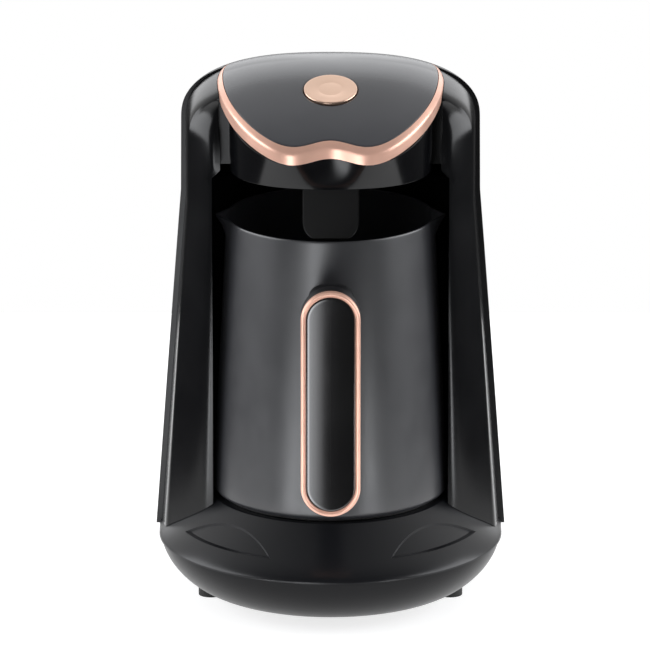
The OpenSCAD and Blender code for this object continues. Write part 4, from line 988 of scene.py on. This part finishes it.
def button():
    """Push button: a flat top with a shallow ring groove, a rounded rim, a skirt and a stem."""
    corner = 0.5
    top = BUTTON_PROUD - 0.25
    profile = [(0, top - 0.1), (4.9, top - 0.1), (5.2, top - 0.14), (5.5, top - 0.14), (5.8, top - 0.08)]
    profile += [(8.5, top - 0.04), (10.6, top)]
    profile += arc((BUTTON_R - corner, top - corner), (corner, corner), 90, 0, 8)
    profile += [(BUTTON_R, -BUTTON_SKIRT), (BUTTON_R - BUTTON_WALL, -BUTTON_SKIRT)]
    profile += [(BUTTON_R - BUTTON_WALL, -BUTTON_UNDER), (0, -BUTTON_UNDER)]
    stem = [(STEM_R, -BUTTON_UNDER), (STEM_R, -STEM_Z), (0, -STEM_Z)]
    skin = Skin().grid(button_rings(profile, 160), close_cols=True)
    return skin.grid(button_rings(stem, 48), close_cols=True).mesh("button_skin")


piece("button_skin", button(), "button", ROSE_SATIN, "power_button", sharp=40)


def tongue():
    """Sensor tongue under the head: a flat tab with rounded lower corners."""
    round_z = TONGUE_LOW + TONGUE_ROUND
    half = [(TONGUE_HW, TONGUE_TOP)] + [(TONGUE_HW, lerp(TONGUE_TOP, round_z, t)) for t in (0.3, 0.6, 0.9)]
    half += arc((TONGUE_HW - TONGUE_R, round_z), (TONGUE_R, -TONGUE_ROUND), 0, 90, 16)
    edge = half + [(-x, z) for x, z in reversed(half)]
    faces = [[(x, y, z) for x, z in edge] for y in (TONGUE_Y, TONGUE_Y + TONGUE_T)]
    skin = Skin().grid(faces, close_cols=True)
    skin.faces += [tuple(range(len(edge))), tuple(range(len(edge), 2 * len(edge)))]
    return skin.mesh("tongue_skin")


piece("tongue_skin", tongue(), "housing", TONGUE_GLOSS, "sensor_tongue", sharp=40, bevel=0.7, segments=5)

# ---------------------------------------------------------------- pot


def lip(angle, z):
    """Reach of the pouring lips beyond the wall at an angle in degrees and a height."""
    off = min(abs(angle), abs(angle - 180), abs(angle - 360))
    rise = clamp01((z - (POT_RIM_Z - LIP_H)) / LIP_H) ** LIP_RISE
    return LIP_REACH * max(0.0, 1 - off / LIP_ANGLE) ** LIP_CURVE * rise


def pot():
    """Pot from the heater's plate round the foot, up outside, over the rim and down to the inner floor."""
    base = pot_r(POT_FOOT_Z + POT_CORNER) - POT_CORNER
    half, floor = POT_WALL / 2, POT_FLOOR_Z + POT_WALL
    foot = [(pot_r(POT_FLOOR_Z) - POT_WALL, POT_FLOOR_Z), (POT_BASE_R - POT_WALL, POT_FOOT_Z + 3.4)]
    foot += [(base, POT_FOOT_Z + 1.0)]
    foot += arc((base, POT_FOOT_Z + POT_CORNER), (POT_CORNER, POT_CORNER), -90, 0, 8)
    heights = [lerp(POT_FOOT_Z + POT_CORNER, POT_RIM_Z - LIP_H, t) for t in steps(20)][1:]
    heights += [lerp(POT_RIM_Z - LIP_H, POT_RIM_Z - half, t) for t in steps(14)][1:]
    side = [(pot_r(z), z) for z in heights]
    side += arc((POT_RIM_R - half, POT_RIM_Z - half), (half, half), 0, 180, 8)[1:-1]
    side += [(pot_r(z) - POT_WALL, z) for z in reversed(heights)]
    corner_r = pot_r(floor) - POT_WALL - POT_INNER_CORNER
    inside = arc((corner_r, floor + POT_INNER_CORNER), (POT_INNER_CORNER, POT_INNER_CORNER), 0, -90, 6)
    inside += [(20, floor), (0, floor)]
    rings = [(r, z, 0) for r, z in foot] + [(r, z, 1) for r, z in side] + [(r, z, 0) for r, z in inside]
    rows = []
    for r, z, lipped in rings:
        reaches = [(angle, r + lipped * lip(angle, z)) for angle in range(360)]
        rows.append([(k * math.cos(math.radians(a)), k * math.sin(math.radians(a)), z) for a, k in reaches])
    return Skin().grid(rows, close_cols=True).mesh("pot_skin")


piece("pot_skin", pot(), "pot", POT_COAT, "pot_body", sharp=40)

# ---------------------------------------------------------------- handle


def stadium(inset, y):
    """Upright outline of the handle at a depth, shrunk by inset."""
    r = HANDLE_R - inset
    high, low = HANDLE_HIGH - HANDLE_R, HANDLE_LOW + HANDLE_R
    side = [lerp(high, low, t) for t in steps(16)][1:-1]
    edge = arc((0, high), (r, r), 0, 180, 40) + [(-r, z) for z in side]
    edge += arc((0, low), (r, r), 180, 360, 40) + [(r, z) for z in reversed(side)]
    return [(x, y, z) for x, z in edge]


def arm_outline(z0):
    """Rounded rectangle of a handle arm."""
    out = []
    for start, sx, sz in ((0, 1, 1), (90, -1, 1), (180, -1, -1), (270, 1, -1)):
        out += arc((sx * (ARM_HW - ARM_R), z0 + sz * (ARM_HH - ARM_R)), (ARM_R, ARM_R), start, start + 90, 8)
    return out


def handle_core():
    """Grip with closed ends, and two arms that run to the pot's wall with a flared root."""
    back = HANDLE_FRONT + GRIP_T
    section = [(1.0, GRIP_FRONT), (0.0, GRIP_FRONT + 0.02)]
    section += arc((GRIP_R, back - GRIP_R), (GRIP_R, GRIP_R), 180, 90, 8)
    rows = [stadium(inset, y) for inset, y in section]
    skin = Skin().grid(rows, close_cols=True)
    for row in (rows[0], rows[-1]):
        spine = [(0, y, max(HANDLE_LOW + HANDLE_R, min(HANDLE_HIGH - HANDLE_R, z))) for _, y, z in row]
        skin.grid([row, spine], close_cols=True)
    for z0 in (HANDLE_LOW + ARM_IN, HANDLE_HIGH - ARM_IN):
        rows = []
        for t in steps(12):
            swell = 1 + 0.10 * max(0.0, 1 - t * 5) ** 2
            row = []
            for x, z in arm_outline(z0):
                end = -math.sqrt((pot_r(z) + 0.05) ** 2 - x * x)
                row.append((x * swell, lerp(back - 0.4, end, t), z0 + (z - z0) * swell))
            rows.append(row)
        skin.grid(rows, close_cols=True)
    return skin.mesh("handle_core_skin")


def handle_ring():
    """Plated ring: a half-round face with a small step on its inner side."""
    w, deep = RING_W, 0.75
    half = (w - 0.35) / 2
    section = [(0.02, 3.55)] + arc((half, deep), (half, -deep), 180, 0, 14)
    section += [(w - 0.3, 0.35), (w - 0.12, 0.35), (w - 0.05, 0.7), (w, 0.75), (w, 3.5)]
    rows = [stadium(inset, HANDLE_FRONT + depth) for inset, depth in section]
    return Skin().grid(rows, close_cols=True, close_rows=True).mesh("handle_ring_skin")


def handle_insert():
    """Glossy insert: crowned from side to side, so that it catches the light along one edge."""
    front, edge, crown = HANDLE_FRONT + 0.62, RING_W + 0.08, 0.42
    half, flat = HANDLE_R - edge, edge + 0.27
    section = [(edge, 2.8), (edge, 0.5), (edge + 0.08, 0.25), (flat, 0.12)]
    section += [(lerp(flat, HANDLE_R - 0.02, t), 0) for t in steps(14)[1:]]
    rows = []
    for inset, drop in section:
        rows.append([(x, y + crown * (x / half) ** 2, z) for x, y, z in stadium(inset, front + drop)])
    return Skin().grid(rows, close_cols=True).mesh("handle_insert_skin")


piece("handle_core_skin", handle_core(), "pot", HANDLE_SATIN, "handle_core", sharp=40)
piece("handle_ring_skin", handle_ring(), "pot", ROSE, "handle_ring", sharp=50)
piece("handle_insert_skin", handle_insert(), "pot", INSERT_GLOSS, "handle_insert", sharp=40)

# ---------------------------------------------------------------- finishes of the pieces kept from the frame

KEPT = {
    "button_spring": brushed("spring_wire", (0.5, 0.5, 0.5), 0.28),
    "chassis": brushed("chassis_sheet", (0.5, 0.51, 0.52), 0.38, (30, 1, 1)),
    "pot_floor_plate": brushed("plate_turned", (0.72, 0.72, 0.73), 0.32, (1, 1, 1)),
    "heating_element": brushed("element_tube", (0.3, 0.26, 0.22), 0.4, (1, 1, 1)),
    "contact_pins": plated("pin_brass", (0.75, 0.55, 0.25), 0.25),
    "foam_sensor": gloss_black("sensor_lens", (0.05, 0.004, 0.005), 0.12),
    "control_board": moulded("board_mask", (0.015, 0.12, 0.05), 0.35),
    "power_board": moulded("power_board_mask", (0.015, 0.12, 0.05), 0.35),
    "relay": moulded("relay_case", (0.02, 0.06, 0.25), 0.4),
    "transformer": moulded("transformer_tape", (0.45, 0.32, 0.05), 0.45),
    "capacitor": moulded("capacitor_sleeve", (0.015, 0.015, 0.05), 0.35),
    "thermostat": moulded("thermostat_ceramic", (0.75, 0.72, 0.66), 0.6),
    "thermal_fuse": moulded("fuse_ceramic", (0.78, 0.76, 0.7), 0.6),
    "pot_base_seal": moulded("seal_silicone", (0.35, 0.06, 0.04), 0.55),
}
SHARED = {
    CHIN_SATIN: ("head_underside", "button_collar", "pot_base_cover", "plug_block", "socket_block",
                 "tact_switch"),
    RUBBER: ("feet", "cord_gland"),
    ZINC: ("foot_screws", "board_screws", "chassis_screws", "power_board_screws", "socket_screws",
           "pot_base_screws", "handle_screws"),
}
KEPT.update({name: material for material, names in SHARED.items() for name in names})
for name, material in KEPT.items():
    nodes[name].data.materials.clear()
    nodes[name].data.materials.append(material)

# ---------------------------------------------------------------- floor, light and camera, in metres

FLOOR_HW = 0.26
FLOOR_FRONT = -0.18
FLOOR_BACK = 0.45
FLOOR_PAPER = 0.5
FLOOR_GLOW = 0.74  # what the camera and mirrored rays see of the floor beyond its lit paper
MIDDLE = (0, 0, 0.12)
COOL = (0.955, 0.97, 1.0)
CARDS = 6  # low cards that all start at the same left edge, so that their light fades to the right
CARD_LEFT = -0.24
CARD_NARROW = 0.13
CARD_WIDE = 0.215
CARD_DEEP = 0.34
CARD_Y = -0.52
CARD_STEP = 0.004
CARD_WATTS = 15.75  # for each square metre of all cards together
AMBIENT = 0.7
STUDIO_DARK = 0.05
STUDIO_WHITE = 0.85
ROOM_Y = (-0.35, 0.45)  # directions over which the mirrored world turns from dark to white
ROOM_Z = (-0.06, 0.06)
PITCH = math.radians(16.3)
DISTANCE = 4.0
LOOK = (-0.0025, POT_Y / 1000, 0.127)
SENSOR = 36.0  # in millimetres, as the lens
LENS = 489.0


def light_path(tree):
    """Shares of camera rays and of rays off or through shiny pieces."""
    path, shiny = tree.nodes.new("ShaderNodeLightPath"), tree.nodes.new("ShaderNodeMath")
    shiny.operation = "MAXIMUM"
    tree.links.new(path.outputs["Is Glossy Ray"], shiny.inputs[0])
    tree.links.new(path.outputs["Is Transmission Ray"], shiny.inputs[1])
    return path.outputs["Is Camera Ray"], shiny.outputs[0]


def maths(tree, operation, *values):
    """Math node whose inputs are numbers or other nodes' outputs."""
    made = tree.nodes.new("ShaderNodeMath")
    made.operation = operation
    for socket, value in zip(made.inputs, values):
        if isinstance(value, float):
            socket.default_value = value
        else:
            tree.links.new(value, socket)
    return made.outputs[0]


def floor():
    """Pale paper that keeps the part's shadow, and is white to the camera and in the shiny pieces."""
    paper = Finish("floor_paper", (FLOOR_PAPER, FLOOR_PAPER, FLOOR_PAPER), 0.9, specular=0.0)
    paper.mottle(3, 0.004)
    seen, mirrored = light_path(paper.tree)
    paper.shader.inputs["Emission Color"].default_value = (1, 1, 1, 1)
    glow = maths(paper.tree, "MULTIPLY", maths(paper.tree, "ADD", mirrored, seen), FLOOR_GLOW)
    paper.link(glow, paper.shader.inputs["Emission Strength"])
    mesh = bpy.data.meshes.new("floor")
    corners = [(-FLOOR_HW, FLOOR_FRONT, 0), (FLOOR_HW, FLOOR_FRONT, 0)]
    corners += [(FLOOR_HW, FLOOR_BACK, 0), (-FLOOR_HW, FLOOR_BACK, 0)]
    mesh.from_pydata(corners, [], [(0, 1, 2, 3)])
    mesh.materials.append(paper.mat)
    ob = bpy.data.objects.new("floor", mesh)
    scene.collection.objects.link(ob)


def softbox(name, place, target, width, height, power):
    light = bpy.data.lights.new(name, "AREA")
    light.shape = "RECTANGLE"
    light.size, light.size_y = width, height
    light.energy = power
    light.color = COOL
    ob = bpy.data.objects.new(name, light)
    ob.location = place
    ob.rotation_euler = (Vector(target) - Vector(place)).to_track_quat("-Z", "Y").to_euler()
    scene.collection.objects.link(ob)


def lamps():
    for side, word in ((-1, "left"), (1, "right")):
        softbox(word + "_box", (side * 1.6, -0.1, 0.6), MIDDLE, 1.7, 1.2, 25)
        softbox(word + "_near_card", (side * 0.19, -0.27, 0.0), (side * 0.02, -0.06, 0.22), 0.045, 0.1, 0.12)
    softbox("back_box", (0, 2.9, 1.12), MIDDLE, 3.4, 2.05, 18)
    for k, share in enumerate(steps(CARDS - 1)):
        width = lerp(CARD_NARROW, CARD_WIDE, share)
        x = CARD_LEFT + width / 2
        power = CARD_WATTS * width * CARD_DEEP / CARDS
        softbox("card_%d" % k, (x, CARD_Y, -CARD_STEP * k), (x, -0.1, 0.15), width, CARD_DEEP, power)


def studio():
    """World that is white to the camera. Shiny pieces show it white behind them, dark in front and below."""
    world = bpy.data.worlds.new("studio")
    world.use_nodes = True
    tree = world.node_tree
    seen, mirrored = light_path(tree)
    axes = tree.nodes.new("ShaderNodeSeparateXYZ")
    tree.links.new(tree.nodes.new("ShaderNodeTexCoord").outputs["Generated"], axes.inputs["Vector"])
    shares = []
    for axis, (low, high) in (("Y", ROOM_Y), ("Z", ROOM_Z)):
        remap = tree.nodes.new("ShaderNodeMapRange")
        remap.interpolation_type = "SMOOTHSTEP"
        remap.inputs["From Min"].default_value = low
        remap.inputs["From Max"].default_value = high
        tree.links.new(axes.outputs[axis], remap.inputs["Value"])
        shares.append(remap.outputs["Result"])
    room = maths(tree, "MULTIPLY_ADD", maths(tree, "MULTIPLY", *shares), STUDIO_WHITE, STUDIO_DARK)
    rest = maths(tree, "SUBTRACT", 1.0, maths(tree, "ADD", seen, mirrored))
    plain = maths(tree, "MULTIPLY_ADD", rest, AMBIENT, seen)
    background = tree.nodes["Background"]
    background.inputs["Color"].default_value = (1, 1, 1, 1)
    tree.links.new(maths(tree, "MULTIPLY_ADD", mirrored, room, plain), background.inputs["Strength"])
    return world


def photograph_camera():
    """Camera far in front of the part, at the photograph's pitch."""
    lens = bpy.data.cameras.new("camera")
    lens.sensor_width = SENSOR
    lens.lens = LENS
    lens.clip_end = 50.0
    look = Vector(LOOK)
    ob = bpy.data.objects.new("camera", lens)
    ob.location = look + Vector((0, -math.cos(PITCH), math.sin(PITCH))) * DISTANCE
    ob.rotation_euler = (look - ob.location).to_track_quat("-Z", "Y").to_euler()
    scene.collection.objects.link(ob)
    return ob


floor()
lamps()
scene.world = studio()
scene.view_settings.view_transform = "Standard"
scene.camera = photograph_camera()
